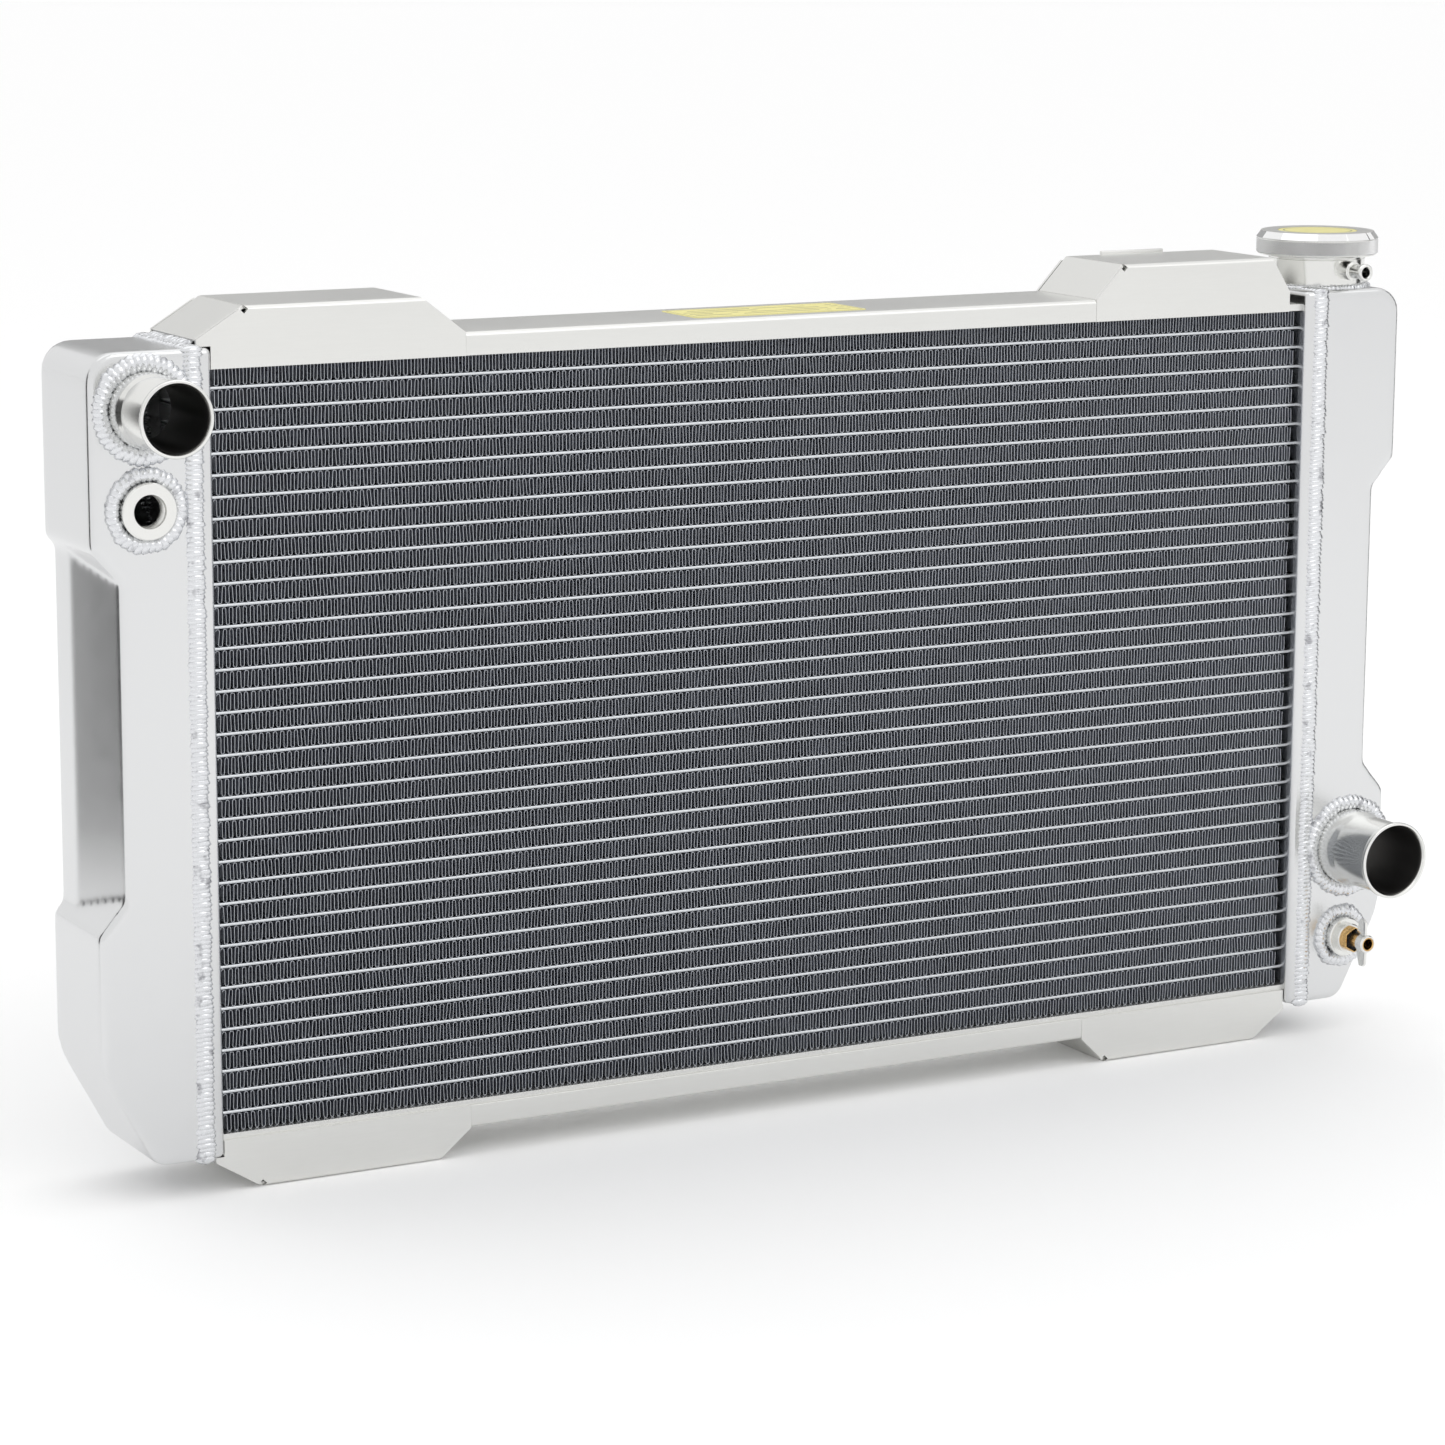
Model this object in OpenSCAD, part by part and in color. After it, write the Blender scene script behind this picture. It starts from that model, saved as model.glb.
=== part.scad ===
// Crossflow car radiator: a two-row aluminium tube and fin core, slotted headers,
// welded end tanks, mounting brackets, hose necks, a drain tap and a pressure cap.
// Millimetres. +X runs from the inlet tank to the outlet tank, -Y is the front
// (hose side), +Z is up. The origin is the middle of the underside of the whole part.

/* [Core] */
// Clear width of the core between the two headers
core_w = 711; // [500:1:900]
// Number of tubes in each row
tube_count = 35; // [20:1:50]
// Width of one flat tube, front to back
tube_w = 25.4; // [15:0.1:35]
// Thickness of one flat tube
tube_t = 2; // [1.6:0.1:4]
// Wall of a tube
tube_wall = 0.4; // [0.25:0.05:0.6]
// Gap between the front and the rear row of tubes
row_gap = 3.2; // [1:0.1:6]
// Height of a fin row, from tube to tube
fin_h = 9.75; // [6:0.05:14]
// Distance between two legs of the corrugated fin
fin_leg_pitch = 2.05; // [1.2:0.05:3]
// Thickness of the fin sheet
fin_sheet = 0.1; // [0.06:0.01:0.2]
// Number of fin legs that one leg of this model stands for
fin_bundle = 17; // [10:1:30]
// Distance from a header to the first fin leg
fin_end_gap = 7; // [3:0.5:12]
// Thickness of the plate that closes the core above and below
side_t = 4; // [2:0.5:6]

/* [Headers and tanks] */
// Depth of the headers and tanks, front to back
tank_d = 72; // [66:1:90]
// Reach of a tank beyond the core
tank_w = 70; // [60:1:90]
// Wall of the tanks and headers
wall = 3; // [2:0.5:4]
// Height of the headers and tanks beyond the outermost fins, above and below
tank_over = 12; // [8:0.5:20]
// Distance from the core to the seam where tank and header are welded
seam_u = 15.5; // [10:0.5:22]
// Radius of a tank's upright outer edges
edge_r = 6.5; // [4:0.5:10]
// Radius of a tank's upper outer corner
top_corner_r = 16; // [10:1:24]
// Width of the slanted lower corner
corner_run = 30; // [20:1:34]
// Height of the slanted lower corner
corner_rise = 56; // [40:1:70]
// Depth of the side recess at the front
recess_front = 16; // [8:0.5:18]
// Depth of the side recess at the back
recess_rear = 5.5; // [3:0.5:8]
// Width of the flat strip at the back of the side recess
recess_strip = 23; // [15:1:30]
// Distance from the top of a tank to the floor of its recess
recess_down = 123; // [100:1:150]
// Distance from the bottom of a tank to the floor of its recess
recess_up = 150; // [130:1:160]

/* [Brackets and channels] */
// Depth of the brackets and channels, front to back
bracket_d = 66; // [62:1:72]
// Thickness of the bracket and channel sheet
sheet = 2; // [1.5:0.5:3]
// Height of a channel
channel_h = 13; // [10:0.5:20]
// Rise of the upper brackets above the channel
top_rise = 20; // [10:0.5:30]
// Drop of the lower brackets below the channel
bottom_rise = 16.4; // [10:0.1:30]
// Length of a bracket along the core
bracket_len = 150; // [145:1:200]
// Start and end of the upper left bracket's raised plate
plate_tl = [20, 124]; // [15:1:140]
// Start and end of the upper right bracket's raised plate
plate_tr = [24, 131]; // [15:1:140]
// Start and end of the lower left bracket's raised plate
plate_bl = [23, 130]; // [15:1:140]
// Start and end of the lower right bracket's raised plate
plate_br = [24, 133]; // [15:1:140]
// Start and end of the locating lip at the back of the upper right bracket
lip_run = [60, 105]; // [30:1:130]
// Height of the locating lip
lip_h = 2; // [1:0.5:4]

/* [Hose necks and bosses] */
// Outer radius of the inlet neck, for a 38 mm hose
inlet_r = 19.05; // [12:0.05:22]
// Outer radius of the outlet neck, for a 44 mm hose
outlet_r = 22.2; // [15:0.05:22.5]
// Wall of both necks
neck_wall = 1.65; // [1:0.05:3]
// Reach of the inlet neck from the tank
inlet_len = 47; // [30:1:60]
// Reach of the outlet neck from the tank
outlet_len = 49; // [30:1:60]
// Distance of the inlet neck from the core
inlet_u = 38.7; // [37:0.1:42]
// Distance of the inlet neck below the top of the tank
inlet_down = 31; // [30:0.5:40]
// Distance of the outlet neck from the core
outlet_u = 43.3; // [42:0.1:44]
// Height of the outlet neck above the bottom of the tank
outlet_up = 97.5; // [90:0.5:110]
// Outer radius of the sensor boss
boss_r = 15.5; // [12:0.5:16]
// Radius of the sensor boss's threaded hole
boss_hole_r = 8.6; // [5:0.1:10]
// Height of the sensor boss above the tank
boss_h = 6; // [3:0.5:12]
// Distance of the sensor boss below the top of the tank
boss_down = 84.5; // [80:0.5:90]

/* [Filler neck and cap] */
// Distance of the filler neck from the core
filler_u = 32.7; // [31:0.1:36]
// Height of the filler neck above the tank
filler_h = 27; // [24:0.5:40]
// Outer radius of the filler neck
filler_r = 29.3; // [28:0.1:30]
// Depth of the pressure seat below the rim
seat_depth = 19; // [18:0.5:20]
// Radius of the throat below the pressure seat
throat_r = 13; // [10:0.5:14]
// Radius of the chamber above the pressure seat
chamber_r = 20.5; // [19:0.5:23]
// Outer radius of the cap
cap_r = 37.25; // [36:0.25:42]
// Rise of the cap over a quarter turn
cap_rise = 2.4; // [1:0.1:3]
// Lift of the pressure plate
relief_lift = 3; // [1:0.5:4]
// Drop of the vacuum valve
vacuum_drop = 1.5; // [0.5:0.1:1.5]
// Outer radius of the overflow nipple
nipple_r = 4.4; // [3:0.1:5]
// Reach of the overflow nipple from the filler neck
nipple_len = 21.7; // [15:0.1:30]

/* [Drain tap] */
// Distance of the drain tap from the core
drain_u = 40; // [30:0.5:42]
// Height of the drain tap above the bottom of the tank
drain_up = 40.5; // [34:0.5:50]
// Outer radius of the drain boss
drain_boss_r = 12.3; // [10:0.1:14]
// Width across the flats of the tap's hexagon
drain_hex = 14.3; // [12:0.1:16]
// Outer radius of the tap's hollow stem
drain_stem_r = 4.3; // [3:0.1:4.5]

/* [Fits] */
// Gap all round a brazed tube in its slot
braze_gap = 0.05; // [0.02:0.01:0.1]
// Gap all round a part that is welded into a hole
weld_gap = 0.1; // [0.05:0.05:0.3]
// Gap all round a part that slides or turns in another
running = 0.06; // [0.02:0.01:0.1]
// Gap between moving parts that pass each other
clear = 0.3; // [0.2:0.05:0.5]

/* [Hidden] */
$fn = 64;
eps = 0.01;

// Core stack
tube_pitch = tube_t + fin_h;
row_pitch = tube_w + row_gap;
core_d = 2 * tube_w + row_gap;
stack_h = tube_count * tube_t + (tube_count + 1) * fin_h;
bottom_lap = 1;
stack_z = bottom_rise + channel_h + side_t - bottom_lap;
stack_top = stack_z + stack_h;
tube_past = 2;
fin_run = core_w - 2 * fin_end_gap;
leg_t = fin_sheet * fin_bundle;
leg_count = round(fin_run / (fin_leg_pitch * fin_bundle));
leg_pitch = (fin_run - leg_t) / leg_count;

// Weld beads
seam_bead_r = 5;
seam_bead_proud = 2.2;
ring_bead_h = 3.5;

// Tanks
tank_z = stack_z - tank_over;
tank_top = stack_top + tank_over;
front_v = -tank_d / 2;
core_y = (max(inlet_len, outlet_len) - seam_bead_proud) / 2;
corner_foot_r = 10;
corner_knee_r = 44;
header_edge_r = 3.5;
recess_slope = 1.17;
recess_front_u = tank_w - recess_front;
recess_rear_u = tank_w - recess_rear;
recess_top_z = tank_top - recess_down;
recess_low_z = tank_z + recess_up;

// Brackets: the low end of each outer slope, where the flanges start, and the height
// at which they pass the header
foot_tl = [-7.6, channel_h + 3.1];
foot_tr = [10.6, channel_h - 1];
foot_bl = [-4, channel_h - 0.4];
foot_br = [0, channel_h - 1];
flange_edge_tr = 5;
flange_edge = 0.5;
step_top = tank_over + clear;
step_bottom = tank_over - side_t + bottom_lap + clear;
bracket_bead_w = 3.2;
bracket_bead_h = 2.4;

// Necks
neck_base_extra = 1.3;
neck_base_len = 12;
neck_taper = 4;
neck_inside = 6;
lip_len = 3.4;
lip_rise = 1.2;
lip_chamfer = 0.6;
lip_flare = 1.6;
inlet_z = tank_top - inlet_down;
outlet_z = tank_z + outlet_up;
inlet_base_r = inlet_r + neck_base_extra;
outlet_base_r = outlet_r + neck_base_extra;
inlet_bead_w = 7.6;
outlet_bead_w = 3.1;
boss_u = inlet_u;
boss_z = tank_top - boss_down;
boss_inside = 4;
boss_bead_w = 6.5;

// Filler neck and cap, all heights from the rim
rim_z = tank_top + filler_h;
seat_z = rim_z - seat_depth;
filler_spigot_r = 20;
filler_groove = 0.6;
filler_groove_z = rim_z - 9.9;
filler_bead_w = 4;
lug_reach = 2.4;
lug_span = 70;
lug_steps = 7;
lug_top_z = rim_z - 1.9;
tab_span = 50;
tab_top_z = rim_z - 5.9;
tab_t = 2;
tab_r = filler_r + clear;
lug_r = filler_r + lug_reach;
ring_r = lug_r + clear;
cap_bottom_z = rim_z - 8.1;
cap_cavity_r = cap_r - 3.85;
cap_floor_z = rim_z + 2.5;
cap_top_z = rim_z + 6.5;
cap_chamfer = [3.1, 4.1];
cap_edge = 0.8;
disc_r = 24;
disc_t = 0.6;
disc_sink = 0.3;
disc_z = cap_top_z - disc_sink - disc_t;
rivet_r = 3;
rivet_head_r = 5.5;
rivet_head_t = 1.4;
rivet_web = 1.2;
gasket_t = 1.6;
gasket_in_r = 14;
gasket_out_r = 28.5;
carrier_r = 26;
carrier_t = 0.8;
carrier_z = rim_z + gasket_t;
post_r = 4;
post_bore_r = 3;
plate_r = 16;
pressure_gasket_t = 2;
plate_t = 1.5;
plate_z = seat_z + pressure_gasket_t;
plate_top_z = plate_z + plate_t;
sleeve_wall = 1.9;
sleeve_h = 9;
post_bottom_z = plate_top_z + relief_lift + 1;
vacuum_disc_r = 6;
vacuum_disc_t = 1.8;
vacuum_stem_r = 1.2;
vacuum_hole_r = 1.5;
vacuum_head_r = 2.4;
vacuum_head_t = 0.8;
vacuum_spring_h = 2 * vacuum_drop;
vacuum_head_z = plate_top_z + vacuum_spring_h;
post_bore_top = vacuum_head_z + vacuum_head_t + relief_lift + 1;
spring_r = 11;
spring_wire_r = 1;
spring_turns = 5;
vacuum_spring_r = 1.8;
vacuum_wire_r = 0.2;
vacuum_turns = 3;
nipple_z = seat_z + 3.1;
nipple_bore_r = 2.8;
nipple_boss_r = 5.7;
nipple_boss_len = 9;
nipple_seat = chamber_r + 3;
nipple_bead = 0.9;
nipple_bead_from_tip = [4, 3, 1.2];

// Drain tap, all distances from the tank's front face
drain_z = tank_z + drain_up;
drain_boss_h = 6.5;
drain_thread_r = 6;
drain_shank = 14;
hex_len = 9;
tap_seat_r = 2.5;
tap_seat_t = 2;
tap_bore_r = drain_stem_r + running;
stem_out = 29;
stem_end_t = 1.5;
stem_hole_r = 3.4;
stem_side_hole_up = 3;
stem_side_hole_r = 1.3;
seal_r = 6.2;
seal_t = 2;
hub_wall = 1.3;
hub_r = drain_stem_r + hub_wall;
hub_len = 7;
wing_half = 15;
wing_t = 2;
wing_root = 12;
wing_tip = 8;
wing_slant = [2, 4];
drain_bead_w = 7.5;

// Notice label on the upper channel
label_w = 112;
label_d = 43;
label_t = 0.3;
label_from_left = 298;
label_from_front = 10;

// ---------- helpers ----------

// Right-hand end of the core: x is the distance outwards, y = 0 the middle of its depth
module at_right() { translate([core_w / 2, core_y, 0]) children(); }

// The same at the left-hand end
module at_left() { mirror([1, 0, 0]) at_right() children(); }

// Extrudes a side view, drawn in x and z, by depth d about the middle of the depth
module side_view(d) { rotate([90, 0, 0]) linear_extrude(height = d, center = true) children(); }

// Puts a shape whose axis is z on a tank's front face, pointing to the front
module on_front(u, z) { translate([u, front_v, z]) rotate([90, 0, 0]) children(); }

module at_filler() { translate([filler_u, 0, 0]) children(); }

function unit(v) = v / norm(v);

// Corner b of a counter-clockwise outline, moved inwards by d
function inset_corner(a, b, c, d) =
    let (s = unit(b - a), t = unit(c - b), m = [-s.y, s.x], n = [-t.y, t.x])
    b + (m + n) * d / (1 + m * n);

function inset(p, d) =
    [for (i = [0 : len(p) - 1])
        inset_corner(p[(i + len(p) - 1) % len(p)], p[i], p[(i + 1) % len(p)], d)];

// Corner b as an arc of radius r that touches both sides
function arc_corner(a, b, c, r, n = 8) =
    let (s = unit(a - b), t = unit(c - b), half = acos(s * t) / 2,
         m = b + unit(s + t) * r / sin(half),
         p = b + s * r / tan(half) - m, q = b + t * r / tan(half) - m,
         from = atan2(p.y, p.x), turn = (atan2(q.y, q.x) - from + 540) % 360 - 180)
    [for (i = [0 : n]) m + r * [cos(from + turn * i / n), sin(from + turn * i / n)]];

function rounded(p, r) =
    [for (i = [0 : len(p) - 1])
        each r[i] <= 0 ? [p[i]]
            : arc_corner(p[(i + len(p) - 1) % len(p)], p[i], p[(i + 1) % len(p)], r[i])];

function tube_z(i) = stack_z + fin_h + tube_t / 2 + i * tube_pitch;

// Cross-section of a flat tube, width along x and thickness along y
module tube_section(w, t) {
    square([w - t, t], center = true);
    for (s = [-1, 1]) translate([s * (w - t) / 2, 0]) circle(d = t);
}

// A bar of any section, centred in x
module along_x(l) { rotate([90, 0, 90]) linear_extrude(height = l, center = true) children(); }

// Lens-shaped ring of weld around a boss of radius r
module ring_bead(r, w) {
    half = w / 2;
    round_r = (half * half + ring_bead_h * ring_bead_h) / (2 * ring_bead_h);
    rotate_extrude() intersection() {
        translate([r + half, ring_bead_h - round_r]) circle(r = round_r);
        translate([r, 0]) square([w, ring_bead_h]);
    }
}

// Helix of round wire, for springs
module coil(r, wire, z0, z1, turns, per_turn, sides) {
    n = turns * per_turn;
    ring = [for (i = [0 : n], k = [0 : sides - 1])
        let (a = 360 * i / per_turn, b = 360 * k / sides, q = r + wire * cos(b))
        [q * cos(a), q * sin(a), z0 + wire + (z1 - z0 - 2 * wire) * i / n + wire * sin(b)]];
    sidewalls = [for (i = [0 : n - 1], k = [0 : sides - 1])
        let (j = (k + 1) % sides, p = i * sides, q = p + sides)
        each [[p + k, q + k, q + j], [p + k, q + j, p + j]]];
    ends = [[for (k = [0 : sides - 1]) k], [for (k = [sides - 1 : -1 : 0]) n * sides + k]];
    polyhedron(ring, concat(sidewalls, ends), convexity = 10);
}

// ---------- core ----------

module tube_row(v) {
    for (i = [0 : tube_count - 1])
        translate([0, core_y + v, tube_z(i)])
            along_x(core_w + 2 * (wall + tube_past)) difference() {
                tube_section(tube_w, tube_t);
                tube_section(tube_w - 2 * tube_wall, tube_t - 2 * tube_wall);
            }
}

module front_tubes() { color("gainsboro") tube_row(-row_pitch / 2); }

module rear_tubes() { color("gainsboro") tube_row(row_pitch / 2); }

// Side view of one corrugated fin row; the folds on the tubes are one sheet thick
module fin_wave() {
    run = leg_count * leg_pitch;
    for (i = [0 : leg_count]) translate([i * leg_pitch - run / 2 - leg_t / 2, 0]) square([leg_t, fin_h]);
    for (i = [0 : leg_count - 1])
        translate([i * leg_pitch - run / 2, i % 2 == 0 ? 0 : fin_h - fin_sheet])
            square([leg_pitch, fin_sheet]);
}

module fin_rows() {
    color("dimgray") for (i = [0 : tube_count])
        translate([0, core_y, stack_z + i * tube_pitch]) side_view(core_d) fin_wave();
}

module core_plate(z) {
    translate([0, core_y, z + side_t / 2])
        cube([core_w, bracket_d - 2 * sheet, side_t], center = true);
}

module core_plate_top() { color("lightgray") core_plate(stack_top); }

module core_plate_bottom() { color("lightgray") core_plate(stack_z - side_t); }

// ---------- headers and tanks ----------

module header() {
    plan = rounded([[0, front_v], [seam_u, front_v], [seam_u, -front_v], [0, -front_v]],
                   [header_edge_r, 0, 0, header_edge_r]);
    difference() {
        translate([0, 0, tank_z]) linear_extrude(height = tank_top - tank_z) polygon(plan);
        translate([wall, front_v + wall, tank_z + wall])
            cube([seam_u, tank_d - 2 * wall, tank_top - tank_z - 2 * wall]);
        for (s = [-1, 1], i = [0 : tube_count - 1])
            translate([0, s * row_pitch / 2, tube_z(i)])
                along_x(4 * wall) tube_section(tube_w + 2 * braze_gap, tube_t + 2 * braze_gap);
    }
}

// Tank outline in side view, moved inwards by g
function tank_outline(g) =
    let (u0 = seam_u - 2 * g,
         p = [[u0, tank_z], [tank_w - corner_run, tank_z], [tank_w, tank_z + corner_rise],
              [tank_w, tank_top], [u0, tank_top]])
    rounded(inset(p, g), [0, corner_foot_r - g, corner_knee_r - g, top_corner_r - g, 0]);

function tank_plan(g) =
    let (u0 = seam_u - 2 * g,
         p = [[u0, front_v], [tank_w, front_v], [tank_w, -front_v], [u0, -front_v]])
    rounded(inset(p, g), [0, edge_r - g, edge_r - g, 0]);

// Space outside the recessed side, moved inwards by g
module recess(g) {
    far = tank_w + 1;
    u = recess_front_u - g;
    strip_v = tank_d / 2 - recess_strip;
    depth = tank_d + 2;
    rise = (far - u) * recess_slope;
    top = recess_top_z + 1.5 * g;
    low = recess_low_z - 1.5 * g;
    intersection() {
        translate([0, 0, low - rise]) linear_extrude(height = top - low + 2 * rise)
            polygon([[u, -depth / 2], [u, front_v], [recess_rear_u - g, strip_v],
                     [recess_rear_u - g, depth / 2], [far, depth / 2], [far, -depth / 2]]);
        side_view(depth)
            polygon([[u, low], [far, low - rise], [far, top + rise], [u, top]]);
    }
}

module tank_solid(g) {
    difference() {
        intersection() {
            side_view(tank_d) polygon(tank_outline(g));
            translate([0, 0, tank_z]) linear_extrude(height = tank_top - tank_z)
                polygon(tank_plan(g));
        }
        recess(g);
    }
}

module tank() {
    difference() {
        tank_solid(0);
        tank_solid(wall);
    }
}

// Cuts a round hole of radius r through a tank's front wall
module front_hole(u, z, r) {
    on_front(u, z) translate([0, 0, -edge_r - wall]) cylinder(r = r, h = edge_r + 2 * wall);
}

// Hole for the filler neck's spigot
module filler_hole() {
    at_filler() translate([0, 0, tank_top - 2 * wall])
        cylinder(r = filler_spigot_r + weld_gap, h = 3 * wall);
}

module header_left() { color("silver") at_left() header(); }

module header_right() {
    color("silver") at_right() difference() {
        header();
        filler_hole();
    }
}

module tank_left() {
    color("silver") at_left() difference() {
        tank();
        front_hole(inlet_u, inlet_z, inlet_base_r + weld_gap);
        front_hole(boss_u, boss_z, boss_r + weld_gap);
    }
}

module tank_right() {
    color("silver") at_right() difference() {
        tank();
        front_hole(outlet_u, outlet_z, outlet_base_r + weld_gap);
        front_hole(drain_u, drain_z, drain_boss_r + weld_gap);
        filler_hole();
    }
}

// Bead around the seam between a header and its tank
module seam_weld() {
    sink = seam_bead_r - seam_bead_proud;
    v = tank_d / 2 - sink;
    low = tank_z + sink;
    top = tank_top - sink;
    difference() {
        translate([seam_u, 0, 0]) {
            for (s = [-1, 1]) {
                translate([0, s * v, low]) cylinder(r = seam_bead_r, h = top - low);
                for (z = [low, top]) translate([0, s * v, z]) sphere(r = seam_bead_r);
            }
            for (z = [low, top]) translate([0, -v, z]) rotate([-90, 0, 0])
                cylinder(r = seam_bead_r, h = 2 * v);
        }
        translate([0, front_v, tank_z]) cube([tank_w, tank_d, tank_top - tank_z]);
    }
}

module seam_weld_left() {
    color("whitesmoke") at_left() difference() {
        seam_weld();
        front_bead_space(inlet_u, inlet_z, inlet_base_r + inlet_bead_w);
        front_bead_space(boss_u, boss_z, boss_r + boss_bead_w);
    }
}

module seam_weld_right() {
    color("whitesmoke") at_right() difference() {
        seam_weld();
        front_bead_space(outlet_u, outlet_z, outlet_base_r + outlet_bead_w);
        front_bead_space(drain_u, drain_z, drain_boss_r + drain_bead_w);
        at_filler() translate([0, 0, tank_top])
            cylinder(r = filler_r + filler_bead_w, h = filler_h);
    }
}

module front_bead_space(u, z, r) { on_front(u, z) cylinder(r = r + weld_gap, h = 2 * ring_bead_h); }

// ---------- channels and brackets ----------

// Upside-down tray with its web at the top and its flanges down to z = 0
module channel(l) {
    translate([0, 0, channel_h - sheet / 2]) cube([l, bracket_d, sheet], center = true);
    for (s = [-1, 1]) translate([0, s * (bracket_d - sheet) / 2, channel_h / 2])
        cube([l, sheet, channel_h], center = true);
}

module above_core() { translate([0, core_y, stack_top]) children(); }

module below_core() {
    translate([0, core_y, stack_z - side_t + bottom_lap]) mirror([0, 0, 1]) children();
}

module channel_top() { color("gainsboro") above_core() channel(core_w - 2 * bracket_len); }

module channel_bottom() { color("gainsboro") below_core() channel(core_w - 2 * bracket_len); }

// Folded bracket: x runs inwards from the end of the core, z away from the core.
// edge is where its flanges start, step the height at which they pass the header,
// foot the low end of its outer slope, plate the ends of its raised plate and rise
// the height of that plate above the channel.
module bracket(edge, step, foot, plate, rise) {
    high = channel_h + rise;
    outer = [[bracket_len, channel_h], [plate[1], high], [plate[0], high], foot];
    fold_in = [for (i = [1, 2]) inset_corner(outer[i - 1], outer[i], outer[i + 1], sheet)];
    drop = sheet / cos(atan((high - foot.y) / (plate[0] - foot.x)));
    end_drop = sheet / cos(atan(rise / (bracket_len - plate[1])));
    band = concat(outer, [foot - [0, drop]], [fold_in[1], fold_in[0]],
                  [[bracket_len, channel_h - end_drop]]);
    flange = concat([[edge, 0], [bracket_len, 0]], outer, [[edge, min(step, foot.y - drop)]]);
    side_view(bracket_d) polygon(band);
    for (s = [-1, 1]) translate([0, s * (bracket_d - sheet) / 2, 0])
        side_view(sheet) polygon(flange);
}

module left_end() { translate([-core_w / 2, 0, 0]) children(); }

module right_end() { mirror([1, 0, 0]) left_end() children(); }

module bracket_top_left() {
    color("gainsboro") above_core() left_end()
        bracket(flange_edge, step_top, foot_tl, plate_tl, top_rise);
}

module bracket_top_right() {
    color("gainsboro") above_core() right_end() {
        bracket(flange_edge_tr, step_top, foot_tr, plate_tr, top_rise);
        translate([lip_run[0], bracket_d / 2 - sheet, channel_h + top_rise])
            cube([lip_run[1] - lip_run[0], sheet, lip_h]);
    }
}

module bracket_bottom_left() {
    color("gainsboro") below_core() left_end()
        bracket(flange_edge, step_bottom, foot_bl, plate_bl, bottom_rise);
}

module bracket_bottom_right() {
    color("gainsboro") below_core() right_end()
        bracket(flange_edge, step_bottom, foot_br, plate_br, bottom_rise);
}

// Bead that joins the upper left bracket's foot to the top of the header
module bracket_weld() {
    l = bracket_d - 2 * edge_r;
    low = tank_top;
    tip = stack_top + foot_tl.y;
    u = -foot_tl.x;
    color("whitesmoke") at_left() side_view(l)
        polygon([[u, low], [u + bracket_bead_w, low],
                 [u + bracket_bead_w, low + bracket_bead_h], [u, tip]]);
}

// ---------- hose necks and bosses ----------

module hose_neck(r, reach) {
    base = r + neck_base_extra;
    lip = reach - lip_len;
    rotate_extrude() polygon([
        [r - neck_wall, -neck_inside], [base, -neck_inside], [base, neck_base_len],
        [r, neck_base_len + neck_taper], [r, lip], [r + lip_flare, lip + lip_rise],
        [r + lip_flare, reach - lip_chamfer], [r + lip_flare - lip_chamfer, reach],
        [r + lip_flare - neck_wall, reach], [r - neck_wall, lip]]);
}

module inlet_neck() {
    color("silver") at_left() on_front(inlet_u, inlet_z) hose_neck(inlet_r, inlet_len);
}

module outlet_neck() {
    color("silver") at_right() on_front(outlet_u, outlet_z) hose_neck(outlet_r, outlet_len);
}

module inlet_weld() {
    color("whitesmoke") at_left() on_front(inlet_u, inlet_z) ring_bead(inlet_base_r, inlet_bead_w);
}

module outlet_weld() {
    color("whitesmoke") at_right() on_front(outlet_u, outlet_z)
        ring_bead(outlet_base_r, outlet_bead_w);
}

module boss(r, hole, above, inside) {
    difference() {
        translate([0, 0, -inside]) cylinder(r = r, h = inside + above);
        translate([0, 0, -inside - 1]) cylinder(r = hole, h = inside + above + 2);
    }
}

module sensor_boss() {
    color("silver") at_left() on_front(boss_u, boss_z)
        boss(boss_r, boss_hole_r, boss_h, boss_inside);
}

module sensor_weld() {
    color("whitesmoke") at_left() difference() {
        on_front(boss_u, boss_z) ring_bead(boss_r, boss_bead_w);
        front_bead_space(inlet_u, inlet_z, inlet_base_r + inlet_bead_w);
    }
}

module drain_boss() {
    color("silver") at_right() on_front(drain_u, drain_z)
        boss(drain_boss_r, drain_thread_r, drain_boss_h, boss_inside);
}

module drain_weld() {
    color("whitesmoke") at_right() on_front(drain_u, drain_z) ring_bead(drain_boss_r, drain_bead_w);
}

// ---------- filler neck ----------

// Part of a ring about z, from radius a to b, between heights z0 and z1
module ring_part(a, b, z0, z1, from, span) {
    rotate([0, 0, from]) rotate_extrude(angle = span)
        translate([a, z0]) square([b - a, z1 - z0]);
}

module filler_body() {
    difference() {
        union() {
            translate([0, 0, tank_top]) cylinder(r = filler_r, h = filler_h);
            translate([0, 0, tank_top - 1.5 * wall])
                cylinder(r = filler_spigot_r, h = 2 * wall);
        }
        translate([0, 0, tank_top - 2 * wall]) cylinder(r = throat_r, h = filler_h);
        translate([0, 0, seat_z]) cylinder(r = chamber_r, h = seat_depth + 1);
        rotate_extrude() translate([filler_r - filler_groove, filler_groove_z])
            square([2 * filler_groove, filler_groove]);
        translate([0, -chamber_r / 2, nipple_z]) rotate([90, 0, 0])
            cylinder(r = nipple_bore_r, h = filler_r);
        translate([0, -nipple_seat, nipple_z]) rotate([90, 0, 0])
            cylinder(r = nipple_boss_r + weld_gap, h = filler_r);
    }
}

// Locking lug that starts at an angle; a cap tab climbs the stepped ramp under it
module filler_lug(from) {
    low = tab_top_z + clear;
    step = lug_span / lug_steps;
    difference() {
        ring_part(filler_r - 1, lug_r, low, lug_top_z, from, lug_span);
        for (i = [1 : lug_steps - 1])
            ring_part(filler_r - 2, lug_r + 1, low - 1, low + cap_rise * step * i / 90,
                      from + step * i, lug_span);
    }
}

module filler_neck() {
    color("silver") at_right() at_filler() {
        filler_body();
        for (half = [0, 180]) filler_lug(half - lug_span / 2);
    }
}

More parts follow.
